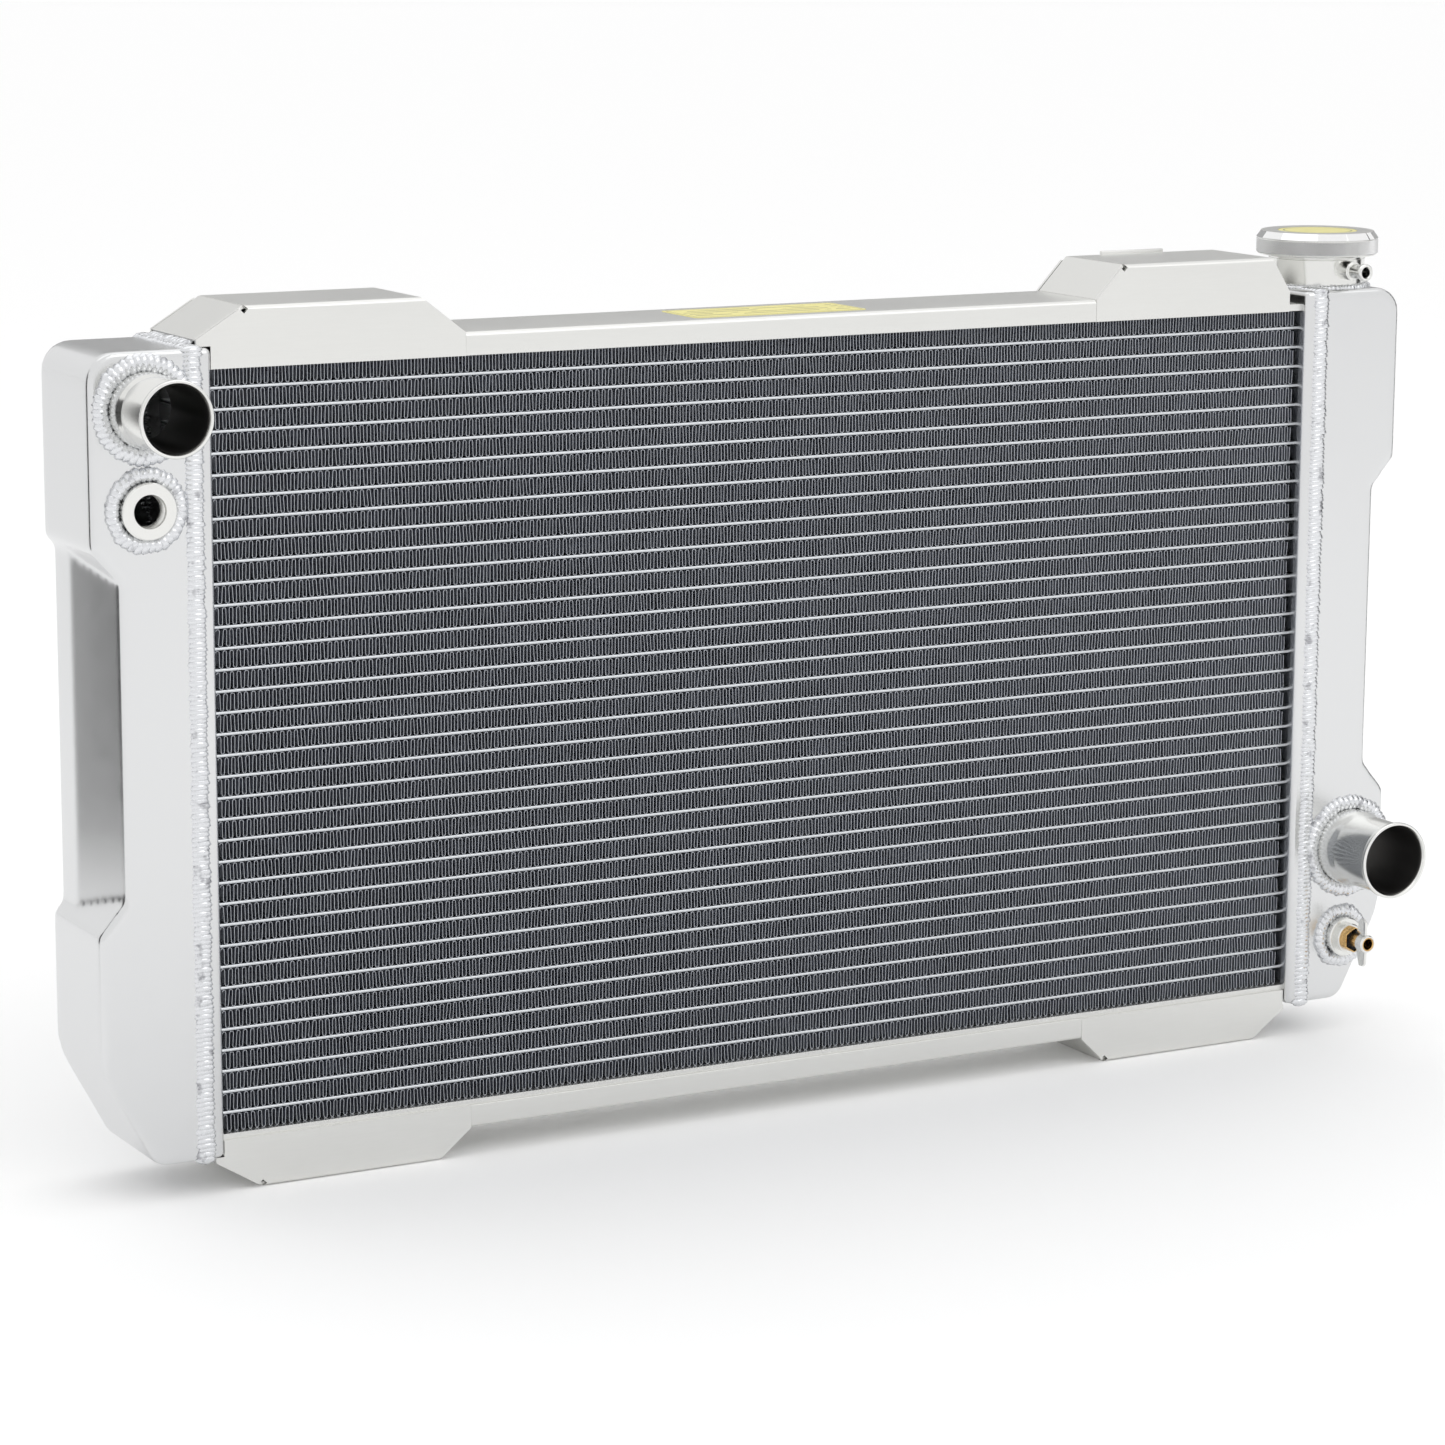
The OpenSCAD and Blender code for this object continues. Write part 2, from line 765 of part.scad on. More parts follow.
module filler_weld() {
    color("whitesmoke") at_right() intersection() {
        at_filler() translate([0, 0, tank_top]) ring_bead(filler_r, filler_bead_w);
        translate([header_edge_r, front_v, tank_top])
            cube([tank_w - header_edge_r, tank_d, 2 * ring_bead_h]);
    }
}

module overflow_nipple() {
    reach = filler_r - nipple_seat + nipple_len;
    shoulder = filler_r - nipple_seat + nipple_boss_len;
    color("silver") at_right() at_filler() translate([0, -nipple_seat, nipple_z]) rotate([90, 0, 0])
        rotate_extrude() polygon([
            [nipple_bore_r, 0], [nipple_boss_r, 0], [nipple_boss_r, shoulder],
            [nipple_r, shoulder], [nipple_r, reach - nipple_bead_from_tip[0]],
            [nipple_r + nipple_bead, reach - nipple_bead_from_tip[1]],
            [nipple_r + nipple_bead, reach - nipple_bead_from_tip[2]],
            [nipple_r, reach], [nipple_bore_r, reach]]);
}

// ---------- pressure cap ----------

module cap_shell() {
    bore = rivet_r + running;
    head = rivet_head_r + clear;
    ledge_z = cap_floor_z + rivet_web;
    color("lightgray") at_right() at_filler() rotate_extrude() polygon([
        [bore, cap_floor_z], [cap_cavity_r, cap_floor_z], [cap_cavity_r, cap_bottom_z],
        [cap_r - cap_edge, cap_bottom_z], [cap_r, cap_bottom_z + cap_edge],
        [cap_r, cap_top_z - cap_chamfer.y], [cap_r - cap_chamfer.x, cap_top_z],
        [disc_r + clear, cap_top_z], [disc_r + clear, disc_z], [head, disc_z],
        [head, ledge_z], [bore, ledge_z]]);
}

module cap_lock_ring() {
    color("silver") at_right() at_filler() {
        ring_part(ring_r, cap_cavity_r, tab_top_z - tab_t, cap_floor_z, 0, 360);
        for (half = [0, 180])
            ring_part(tab_r, ring_r + 0.5, tab_top_z - tab_t, tab_top_z, half - tab_span / 2, tab_span);
    }
}

module cap_disc() {
    color("khaki") at_right() at_filler() translate([0, 0, disc_z]) cylinder(r = disc_r, h = disc_t);
}

// Rivet that holds the valve carrier to the cap and lets the cap turn on it
module cap_rivet() {
    head_z = cap_floor_z + rivet_web + running;
    color("gray") at_right() at_filler() {
        translate([0, 0, carrier_z + carrier_t])
            cylinder(r = rivet_r, h = head_z - carrier_z - carrier_t + eps);
        translate([0, 0, head_z]) cylinder(r = rivet_head_r, h = rivet_head_t);
    }
}

module valve_carrier() {
    color("gray") at_right() at_filler() difference() {
        union() {
            translate([0, 0, carrier_z]) cylinder(r = carrier_r, h = carrier_t);
            translate([0, 0, post_bottom_z])
                cylinder(r = post_r, h = carrier_z - post_bottom_z + eps);
        }
        translate([0, 0, post_bottom_z - 1])
            cylinder(r = post_bore_r, h = post_bore_top - post_bottom_z + 1);
    }
}

module cap_gasket() {
    color("dimgray") at_right() at_filler()
        ring_part(gasket_in_r, gasket_out_r, rim_z, rim_z + gasket_t, 0, 360);
}

module pressure_spring() {
    color("lightgray") at_right() at_filler()
        coil(spring_r, spring_wire_r, plate_top_z, carrier_z, spring_turns, 14, 8);
}

module pressure_plate() {
    sleeve_r = post_r + running;
    color("silver") at_right() at_filler() {
        ring_part(vacuum_hole_r, plate_r, plate_z, plate_top_z, 0, 360);
        ring_part(sleeve_r, sleeve_r + sleeve_wall, plate_top_z - eps, plate_top_z + sleeve_h, 0, 360);
    }
}

module pressure_gasket() {
    color("dimgray") at_right() at_filler()
        ring_part(vacuum_hole_r + clear, plate_r, seat_z, plate_z, 0, 360);
}

module vacuum_valve() {
    color("silver") at_right() at_filler() {
        translate([0, 0, seat_z - running - vacuum_disc_t])
            cylinder(r = vacuum_disc_r, h = vacuum_disc_t);
        translate([0, 0, seat_z - vacuum_disc_t])
            cylinder(r = vacuum_stem_r, h = vacuum_head_z - seat_z + vacuum_disc_t + eps);
        translate([0, 0, vacuum_head_z]) cylinder(r = vacuum_head_r, h = vacuum_head_t);
    }
}

module vacuum_spring() {
    color("lightgray") at_right() at_filler()
        coil(vacuum_spring_r, vacuum_wire_r, plate_top_z, vacuum_head_z, vacuum_turns, 10, 6);
}

// ---------- drain tap ----------

module at_drain() { at_right() on_front(drain_u, drain_z) children(); }

module drain_body() {
    inner = drain_boss_h - drain_shank;
    color("goldenrod") at_drain() difference() {
        union() {
            translate([0, 0, inner]) cylinder(r = drain_thread_r - weld_gap, h = drain_shank + eps);
            translate([0, 0, drain_boss_h])
                rotate([0, 0, 30]) cylinder(d = drain_hex / cos(30), h = hex_len, $fn = 6);
        }
        translate([0, 0, inner + tap_seat_t]) cylinder(r = tap_bore_r, h = drain_shank + hex_len);
        translate([0, 0, inner - 1]) cylinder(r = tap_seat_r, h = tap_seat_t + 2);
        translate([0, 0, drain_boss_h + hex_len - seal_t - clear])
            cylinder(r = seal_r + running, h = 2 * seal_t);
    }
}

module drain_seal() {
    z = drain_boss_h + hex_len - seal_t;
    color("black") at_drain() ring_part(drain_stem_r + running, seal_r, z, z + seal_t, 0, 360);
}

module drain_stem() {
    start = drain_boss_h - drain_shank + tap_seat_t + running;
    color("goldenrod") at_drain() difference() {
        translate([0, 0, start]) cylinder(r = drain_stem_r, h = stem_out - start);
        translate([0, 0, start + stem_end_t]) cylinder(r = stem_hole_r, h = stem_out);
        translate([0, 0, start + stem_side_hole_up]) rotate([0, 90, 0])
            cylinder(r = stem_side_hole_r, h = 3 * drain_stem_r, center = true);
    }
}

// Both wings, x being the distance from the stem's front end
function wing_outline() =
    let (half = [[-wing_slant[0], wing_half - wing_slant[0]], [-wing_slant[1], wing_half],
                 [-wing_tip, wing_half], [-wing_root, hub_r]])
    concat(half, [for (i = [3 : -1 : 0]) [half[i].x, -half[i].y]]);

module drain_wing() {
    back = stem_out - hub_len;
    color("gainsboro") at_drain() difference() {
        union() {
            translate([0, 0, back]) cylinder(r = hub_r, h = hub_len);
            rotate([0, -90, 0]) linear_extrude(height = wing_t, center = true)
                translate([stem_out, 0]) polygon(wing_outline());
        }
        cylinder(r = drain_stem_r, h = stem_out + 1);
    }
}

// ---------- label ----------

module notice_label() {
    color("khaki") translate([label_from_left - core_w / 2, core_y - bracket_d / 2 + label_from_front,
                              stack_top + channel_h])
        cube([label_w, label_d, label_t]);
}

front_tubes();
rear_tubes();
fin_rows();
core_plate_top();
core_plate_bottom();
header_left();
header_right();
tank_left();
tank_right();
seam_weld_left();
seam_weld_right();
channel_top();
channel_bottom();
bracket_top_left();
bracket_top_right();
bracket_bottom_left();
bracket_bottom_right();
bracket_weld();
inlet_neck();
inlet_weld();
outlet_neck();
outlet_weld();
sensor_boss();
sensor_weld();
drain_boss();
drain_weld();
filler_neck();
filler_weld();
overflow_nipple();
cap_shell();
cap_lock_ring();
cap_disc();
cap_rivet();
valve_carrier();
cap_gasket();
pressure_spring();
pressure_plate();
pressure_gasket();
vacuum_valve();
vacuum_spring();
drain_body();
drain_seal();
drain_stem();
drain_wing();
notice_label();
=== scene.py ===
"""Crossflow car radiator: the visible surfaces, finishes, light and camera around its CAD frame."""

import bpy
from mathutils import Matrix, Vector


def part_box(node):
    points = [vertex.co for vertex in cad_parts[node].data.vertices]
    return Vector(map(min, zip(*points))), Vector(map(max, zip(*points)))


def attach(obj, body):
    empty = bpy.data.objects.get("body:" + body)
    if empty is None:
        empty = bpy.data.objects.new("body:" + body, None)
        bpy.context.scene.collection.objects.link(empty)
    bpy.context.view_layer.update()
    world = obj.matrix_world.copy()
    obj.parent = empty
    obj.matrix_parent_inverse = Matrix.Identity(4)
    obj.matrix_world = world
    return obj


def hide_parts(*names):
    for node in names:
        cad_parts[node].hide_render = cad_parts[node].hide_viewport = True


bl_info = {
    "name": "Car Radiator",
    "version": (1, 0, 0),
    "blender": (4, 5, 0),
    "location": "View3D > Sidebar > Radiator",
    "description": "Builds the visible surfaces of a crossflow car radiator around its CAD frame",
    "category": "Add Mesh",
}

from math import atan, atan2, cos, hypot, pi, radians, sin, tan
from random import Random

import bmesh
import bpy
from mathutils import Matrix, Vector, noise

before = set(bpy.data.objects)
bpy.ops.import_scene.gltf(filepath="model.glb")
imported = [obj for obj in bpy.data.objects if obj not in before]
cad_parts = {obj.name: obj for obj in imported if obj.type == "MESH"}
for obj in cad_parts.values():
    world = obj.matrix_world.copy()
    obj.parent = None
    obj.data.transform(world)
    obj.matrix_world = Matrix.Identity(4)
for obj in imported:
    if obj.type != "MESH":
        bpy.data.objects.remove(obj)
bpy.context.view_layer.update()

LEFT, RIGHT = -1, 1
FORWARD = radians(90)
SMOOTH_ANGLE = radians(32)
TUBE_COUNT = 35

# Places that the CAD frame gives
CORE_LOW, CORE_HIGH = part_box("core_plate_top")
HALF_CORE = CORE_HIGH.x
MID_Y = (CORE_LOW.y + CORE_HIGH.y) / 2
STACK_TOP = CORE_LOW.z
STACK_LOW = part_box("core_plate_bottom")[1].z
TANK_LOW, TANK_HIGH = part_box("tank_right")
FRONT_Y, BACK_Y = TANK_LOW.y, TANK_HIGH.y
SEAM_U = TANK_LOW.x - HALF_CORE
TANK_U = TANK_HIGH.x - HALF_CORE


# ---------- sizes and colours ----------


class RadiatorSizes(bpy.types.PropertyGroup):
    """Sizes of the details that the CAD frame leaves plain"""

    fin_pitch: bpy.props.FloatProperty(
        name="Fin Pitch", description="Distance between two legs of a corrugated fin",
        default=0.00205, min=0.001, unit="LENGTH")
    fin_sheet: bpy.props.FloatProperty(
        name="Fin Sheet",
        description="Drawn thickness of the fin sheet, twice its real one, so that its edge shows",
        default=0.0002, unit="LENGTH")
    fin_wander: bpy.props.FloatProperty(
        name="Fin Wander", description="How far a fin leg strays from its place",
        default=0.0006, min=0, unit="LENGTH")
    wall: bpy.props.FloatProperty(
        name="Wall", description="Wall of the tanks and headers", default=0.003, unit="LENGTH")
    tank_grid: bpy.props.FloatProperty(
        name="Tank Grid", description="Grid on which a tank's formed edges are rounded",
        default=0.0015, min=0.001, unit="LENGTH")
    tank_rounding: bpy.props.IntProperty(
        name="Tank Rounding", description="How many times a tank's edges are smoothed",
        default=16, min=0)
    sheet: bpy.props.FloatProperty(
        name="Sheet", description="Thickness of the bracket sheet", default=0.002, unit="LENGTH")
    bend: bpy.props.FloatProperty(
        name="Bend", description="Outer radius of a fold in the bracket sheet",
        default=0.0026, unit="LENGTH")
    flap_gap: bpy.props.FloatProperty(
        name="Flap Gap", description="Slit between a bracket's flap and its flange",
        default=0.0005, unit="LENGTH")
    ripple_pitch: bpy.props.FloatProperty(
        name="Ripple Pitch", description="Distance between two ripples of a weld",
        default=0.0026, unit="LENGTH")
    seam_centre: bpy.props.FloatProperty(
        name="Seam Centre", description="Distance from the core's end to the middle of a seam's bead",
        default=0.0112, unit="LENGTH")
    seam_half: bpy.props.FloatProperty(
        name="Seam Half Width", description="Half the width of a seam's bead",
        default=0.0060, unit="LENGTH")
    knurl_count: bpy.props.IntProperty(
        name="Knurls", description="Number of knurls around the cap", default=120, min=24)
    knurl_rows: bpy.props.IntProperty(
        name="Knurl Rows", description="Rows of knurls on the cap's rim", default=5, min=2)
    knurl_depth: bpy.props.FloatProperty(
        name="Knurl Depth", description="Height of one knurl", default=0.0008, unit="LENGTH")


class RadiatorFinishes(bpy.types.PropertyGroup):
    """Colours of the radiator's finishes"""

    sheet_colour: bpy.props.FloatVectorProperty(
        name="Sheet", description="Rolled aluminium sheet", default=(0.74, 0.74, 0.72),
        subtype="COLOR", size=3, min=0, max=1)
    tank_colour: bpy.props.FloatVectorProperty(
        name="Tanks", description="Formed aluminium tanks and headers", default=(0.70, 0.705, 0.71),
        subtype="COLOR", size=3, min=0, max=1)
    fin_colour: bpy.props.FloatVectorProperty(
        name="Fins", description="Dull fin sheet", default=(0.34, 0.365, 0.42),
        subtype="COLOR", size=3, min=0, max=1)
    weld_colour: bpy.props.FloatVectorProperty(
        name="Welds", description="Weld beads", default=(0.72, 0.73, 0.75),
        subtype="COLOR", size=3, min=0, max=1)
    turned_colour: bpy.props.FloatVectorProperty(
        name="Turned Parts", description="Turned aluminium", default=(0.78, 0.78, 0.76),
        subtype="COLOR", size=3, min=0, max=1)
    brass_colour: bpy.props.FloatVectorProperty(
        name="Brass", description="Drain tap", default=(0.73, 0.47, 0.19),
        subtype="COLOR", size=3, min=0, max=1)
    label_colour: bpy.props.FloatVectorProperty(
        name="Label", description="Label film and the cap's disc", default=(0.80, 0.74, 0.30),
        subtype="COLOR", size=3, min=0, max=1)


def sizes():
    return bpy.context.scene.radiator_sizes


def finishes():
    return bpy.context.scene.radiator_finishes


# ---------- modelling helpers ----------


def clear_selection():
    if bpy.context.object is not None and bpy.context.object.mode != "OBJECT":
        bpy.ops.object.mode_set(mode="OBJECT")
    bpy.ops.object.select_all(action="DESELECT")


def activate(obj):
    clear_selection()
    obj.select_set(True)
    bpy.context.view_layer.objects.active = obj
    return obj


def edit(obj):
    activate(obj)
    bpy.ops.object.mode_set(mode="EDIT")


def leave_edit():
    bpy.ops.object.mode_set(mode="OBJECT")


def select_parts(obj, kind, test):
    """In edit mode, selects the vertices, edges or faces that pass the test."""
    bpy.ops.mesh.select_mode(type=kind)
    bpy.ops.mesh.select_all(action="DESELECT")
    mesh = bmesh.from_edit_mesh(obj.data)
    for part in {"VERT": mesh.verts, "EDGE": mesh.edges, "FACE": mesh.faces}[kind]:
        if test(part):
            part.select_set(True)
    mesh.select_flush_mode()
    bmesh.update_edit_mesh(obj.data)


def apply_place(obj):
    activate(obj)
    bpy.ops.object.transform_apply(location=True, rotation=True, scale=True)
    return obj


def block(name, a, b):
    """A box between two corners."""
    a, b = Vector(a), Vector(b)
    size = Vector([abs(x) for x in b - a])
    clear_selection()
    bpy.ops.mesh.primitive_cube_add(size=1, location=(a + b) / 2, scale=size)
    obj = bpy.context.object
    obj.name = name
    return apply_place(obj)


def wire(name, points, closed=False):
    """A chain of edges, the start of an extruded or spun piece."""
    count = len(points)
    edges = [(i, (i + 1) % count) for i in range(count if closed else count - 1)]
    mesh = bpy.data.meshes.new(name)
    mesh.from_pydata([tuple(p) for p in points], edges, [])
    obj = bpy.data.objects.new(name, mesh)
    bpy.context.scene.collection.objects.link(obj)
    return obj


def arc(centre, radius, start, end, steps):
    """Points on an arc in a plane, with its angles in degrees."""
    return [(centre[0] + radius * cos(radians(start + (end - start) * i / steps)),
             centre[1] + radius * sin(radians(start + (end - start) * i / steps)))
            for i in range(steps + 1)]


def slice_off(obj, point, normal):
    """Cuts away what lies on the normal's side of a plane, and closes the cut."""
    edit(obj)
    bpy.ops.mesh.select_all(action="SELECT")
    bpy.ops.mesh.bisect(plane_co=point, plane_no=normal, use_fill=True, clear_outer=True)
    leave_edit()
    return obj


def delete_faces(obj, test):
    edit(obj)
    select_parts(obj, "FACE", test)
    bpy.ops.mesh.delete(type="FACE")
    leave_edit()


def bevel_edges(obj, test, offset, segments):
    edit(obj)
    select_parts(obj, "EDGE", test)
    bpy.ops.mesh.bevel(offset=offset, segments=segments, affect="EDGES")
    leave_edit()


def apply_modifier(obj, kind, **settings):
    modifier = obj.modifiers.new(kind.lower(), kind)
    for name, value in settings.items():
        setattr(modifier, name, value)
    activate(obj)
    bpy.ops.object.modifier_apply(modifier=modifier.name)
    return obj


def cut_with(obj, cutter):
    apply_modifier(obj, "BOOLEAN", operation="DIFFERENCE", solver="EXACT", object=cutter)
    bpy.data.objects.remove(cutter)
    return obj


def soften(obj, width, segments=2, angle=30):
    """Rounds every edge that is sharper than the angle."""
    return apply_modifier(obj, "BEVEL", width=width, segments=segments, limit_method="ANGLE",
                          angle_limit=radians(angle))


def thicken(obj, wall):
    return apply_modifier(obj, "SOLIDIFY", thickness=wall, offset=-1, use_even_offset=True)


def point_outwards(obj):
    edit(obj)
    bpy.ops.mesh.select_all(action="SELECT")
    bpy.ops.mesh.remove_doubles(threshold=1e-6)
    bpy.ops.mesh.normals_make_consistent(inside=False)
    leave_edit()
    return obj


def join(name, pieces):
    activate(pieces[0])
    for piece in pieces[1:]:
        piece.select_set(True)
    if len(pieces) > 1:
        bpy.ops.object.join()
    pieces[0].name = name
    return pieces[0]


def copy_of(obj, place):
    """A copy with its own mesh, moved by a matrix."""
    twin = obj.copy()
    twin.data = obj.data.copy()
    twin.data.transform(place)
    bpy.context.scene.collection.objects.link(twin)
    return twin


def lathe(name, profile, segments=64, closed=True):
    """Spins a profile of (radius, height) pairs about z."""
    obj = wire(name, [(r, 0, h) for r, h in profile], closed)
    edit(obj)
    bpy.ops.mesh.select_all(action="SELECT")
    bpy.ops.mesh.spin(steps=segments, angle=2 * pi, center=(0, 0, 0), axis=(0, 0, 1))
    leave_edit()
    return point_outwards(obj)


def prism(name, outline, low, high):
    """Extrudes a closed outline of (x, y) pairs along z."""
    obj = wire(name, [(x, y, low) for x, y in outline], closed=True)
    edit(obj)
    bpy.ops.mesh.select_all(action="SELECT")
    bpy.ops.mesh.edge_face_add()
    bpy.ops.mesh.extrude_region_move(TRANSFORM_OT_translate={"value": (0, 0, high - low)})
    leave_edit()
    return point_outwards(obj)


def rod(name, radius, low, high, vertices=64):
    clear_selection()
    bpy.ops.mesh.primitive_cylinder_add(
        vertices=vertices, radius=radius, depth=high - low, location=(0, 0, (low + high) / 2))
    obj = bpy.context.object
    obj.name = name
    return apply_place(obj)


def place(obj, matrix):
    obj.data.transform(matrix)
    return obj


def facing_front(x, z, y=None):
    """Puts a shape made along z on the tanks' front face, pointing to the front."""
    y = FRONT_Y if y is None else y
    return Matrix.Translation((x, y, z)) @ Matrix.Rotation(FORWARD, 4, "X")


def finish_piece(obj, body, nodes, materials, smooth=SMOOTH_ANGLE):
    """Gives a piece its finish and shading, and lets it stand for its CAD nodes."""
    if materials is not None:
        obj.data.materials.clear()
        for material in materials if isinstance(materials, list) else [materials]:
            obj.data.materials.append(material)
    activate(obj)
    bpy.ops.object.shade_smooth_by_angle(angle=smooth)
    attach(obj, body)
    if nodes:
        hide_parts(*nodes)
    return obj


def dress(node, material):
    """Gives a CAD node that stays a finish."""
    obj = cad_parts[node]
    obj.data.materials.clear()
    obj.data.materials.append(material)


def middle(node):
    low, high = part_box(node)
    return (low + high) / 2


def at_end(side, u, y, z):
    """A point at a distance u beyond the end of the core."""
    return Vector((side * (HALF_CORE + u), y, z))


def along(side, u, y, z):
    """A direction whose first part points away from the core."""
    return Vector((side * u, y, z))


# ---------- shader helpers ----------


def add(tree, kind, inputs=None, **settings):
    """Adds a shader node; an input is a value, or a socket to link."""
    node = tree.nodes.new("ShaderNode" + kind)
    for name, value in settings.items():
        setattr(node, name, value)
    for name, value in (inputs or {}).items():
        if isinstance(value, bpy.types.NodeSocket):
            tree.links.new(value, node.inputs[name])
        else:
            node.inputs[name].default_value = value
    return node


def math(tree, operation, a, b=0.0):
    return add(tree, "Math", {0: a, 1: b}, operation=operation).outputs[0]


def new_group(name, inputs, outputs):
    tree = bpy.data.node_groups.new(name, "ShaderNodeTree")
    for label, kind, default in inputs:
        socket = tree.interface.new_socket(label, in_out="INPUT", socket_type="NodeSocket" + kind)
        if default is not None:
            socket.default_value = default
    for label, kind in outputs:
        tree.interface.new_socket(label, in_out="OUTPUT", socket_type="NodeSocket" + kind)
    return tree, tree.nodes.new("NodeGroupInput").outputs, tree.nodes.new("NodeGroupOutput").inputs


def metal_grain():
    """Shader group: uneven colour and sheen of bare metal, with a fine grain."""
    name = "Metal Grain"
    if name in bpy.data.node_groups:
        return bpy.data.node_groups[name]
    tree, given, result = new_group(
        name,
        [("Vector", "Vector", None), ("Colour", "Color", (0.8, 0.8, 0.8, 1)),
         ("Colour Spread", "Float", 0.1), ("Roughness", "Float", 0.3),
         ("Roughness Spread", "Float", 0.1), ("Fine Scale", "Float", 400.0),
         ("Broad Scale", "Float", 9.0)],
        [("Colour", "Color"), ("Roughness", "Float"), ("Height", "Float")])
    place_in = add(tree, "TexCoord").outputs["Object"]
    fine = add(tree, "TexNoise", {"Vector": given["Vector"], "Scale": given["Fine Scale"],
                                  "Detail": 3.0, "Roughness": 0.6}).outputs["Fac"]
    broad = add(tree, "TexNoise", {"Vector": place_in, "Scale": given["Broad Scale"],
                                   "Detail": 4.0, "Roughness": 0.55}).outputs["Fac"]
    both = math(tree, "ADD", math(tree, "MULTIPLY", fine, 0.45), math(tree, "MULTIPLY", broad, 0.55))
    centred = math(tree, "MULTIPLY", math(tree, "SUBTRACT", both, 0.5), 2.0)
    shade = math(tree, "ADD", math(tree, "MULTIPLY", centred, given["Colour Spread"]), 1.0)
    colour = add(tree, "HueSaturation", {"Value": shade, "Color": given["Colour"]})
    rough = math(tree, "ADD", math(tree, "MULTIPLY", centred, given["Roughness Spread"]),
                 given["Roughness"])
    tree.links.new(colour.outputs["Color"], result["Colour"])
    tree.links.new(rough, result["Roughness"])
    tree.links.new(fine, result["Height"])
    return tree


def turning_marks():
    """Shader group: fine rings about z, as a lathe leaves them."""
    name = "Turning Marks"
    if name in bpy.data.node_groups:
        return bpy.data.node_groups[name]
    tree, given, result = new_group(
        name, [("Vector", "Vector", None), ("Rings", "Float", 500.0), ("Roughness", "Float", 0.2),
               ("Roughness Spread", "Float", 0.1)],
        [("Roughness", "Float"), ("Height", "Float")])
    apart = add(tree, "SeparateXYZ", {"Vector": given["Vector"]}).outputs
    radius = math(tree, "SQRT", math(tree, "ADD", math(tree, "MULTIPLY", apart[0], apart[0]),
                                     math(tree, "MULTIPLY", apart[1], apart[1])))
    across = add(tree, "CombineXYZ", {"X": radius, "Z": apart[2]}).outputs[0]
    marks = add(tree, "TexNoise", {"Vector": across, "Scale": given["Rings"], "Detail": 2.0},
                ).outputs["Fac"]
    rough = math(tree, "ADD", given["Roughness"], math(
        tree, "MULTIPLY", math(tree, "SUBTRACT", marks, 0.5), given["Roughness Spread"]))
    tree.links.new(rough, result["Roughness"])
    tree.links.new(marks, result["Height"])
    return tree


def weld_frost():
    """Shader group: a frosted bead with bright ripples and small sooty pits."""
    name = "Weld Frost"
    if name in bpy.data.node_groups:
        return bpy.data.node_groups[name]
    tree, given, result = new_group(
        name, [("Vector", "Vector", None), ("Colour", "Color", (0.8, 0.8, 0.8, 1)),
               ("Pit Colour", "Color", (0.25, 0.25, 0.27, 1)), ("Grain Scale", "Float", 900.0)],
        [("Colour", "Color"), ("Roughness", "Float"), ("Height", "Float")])
    grain = add(tree, "TexNoise", {"Vector": given["Vector"], "Scale": given["Grain Scale"],
                                   "Detail": 4.0}).outputs["Fac"]
    patches = add(tree, "TexNoise", {"Vector": given["Vector"], "Scale": 120.0,
                                     "Detail": 3.0}).outputs["Fac"]
    pits = add(tree, "MapRange", {"Value": patches, 1: 0.60, 2: 0.70, 3: 0.0, 4: 0.7}).outputs[0]
    colour = add(tree, "MixRGB", {"Fac": pits, "Color1": given["Colour"],
                                  "Color2": given["Pit Colour"]}).outputs[0]
    rough = add(tree, "MapRange", {"Value": grain, 1: 0.3, 2: 0.7, 3: 0.14, 4: 0.34}).outputs[0]
    tree.links.new(colour, result["Colour"])
    tree.links.new(rough, result["Roughness"])
    tree.links.new(grain, result["Height"])
    return tree


def new_material(name):
    """A material, its tree, its shader and the object's own coordinates."""
    material = bpy.data.materials.new(name)
    material.use_nodes = True
    tree = material.node_tree
    return material, tree, tree.nodes["Principled BSDF"], add(tree, "TexCoord").outputs["Object"]


def use_group(tree, group, inputs):
    node = add(tree, "Group", node_tree=group)
    for name, value in inputs.items():
        if isinstance(value, bpy.types.NodeSocket):
            tree.links.new(value, node.inputs[name])
        else:
            node.inputs[name].default_value = value
    return node.outputs


def raise_bump(tree, shader, height, strength, distance):
    bump = add(tree, "Bump", {"Height": height, "Strength": strength, "Distance": distance})
    tree.links.new(bump.outputs["Normal"], shader.inputs["Normal"])


def grained(name, colour, roughness, stretch=(1, 1, 1), colour_spread=0.06, roughness_spread=0.10,
            fine=700.0, broad=9.0, bump=0.15, metallic=1.0):
    """Bare or dull metal with a grain; stretch below 1 draws the grain out along that axis."""
    material, tree, shader, place_in = new_material(name)
    vector = add(tree, "Mapping", {"Vector": place_in, "Scale": stretch}).outputs[0]
    made = use_group(tree, metal_grain(), {
        "Vector": vector, "Colour": (*colour, 1), "Colour Spread": colour_spread,
        "Roughness": roughness, "Roughness Spread": roughness_spread, "Fine Scale": fine,
        "Broad Scale": broad})
    shader.inputs["Metallic"].default_value = metallic
    tree.links.new(made["Colour"], shader.inputs["Base Color"])
    tree.links.new(made["Roughness"], shader.inputs["Roughness"])
    raise_bump(tree, shader, made["Height"], bump, 0.0002)
    return material


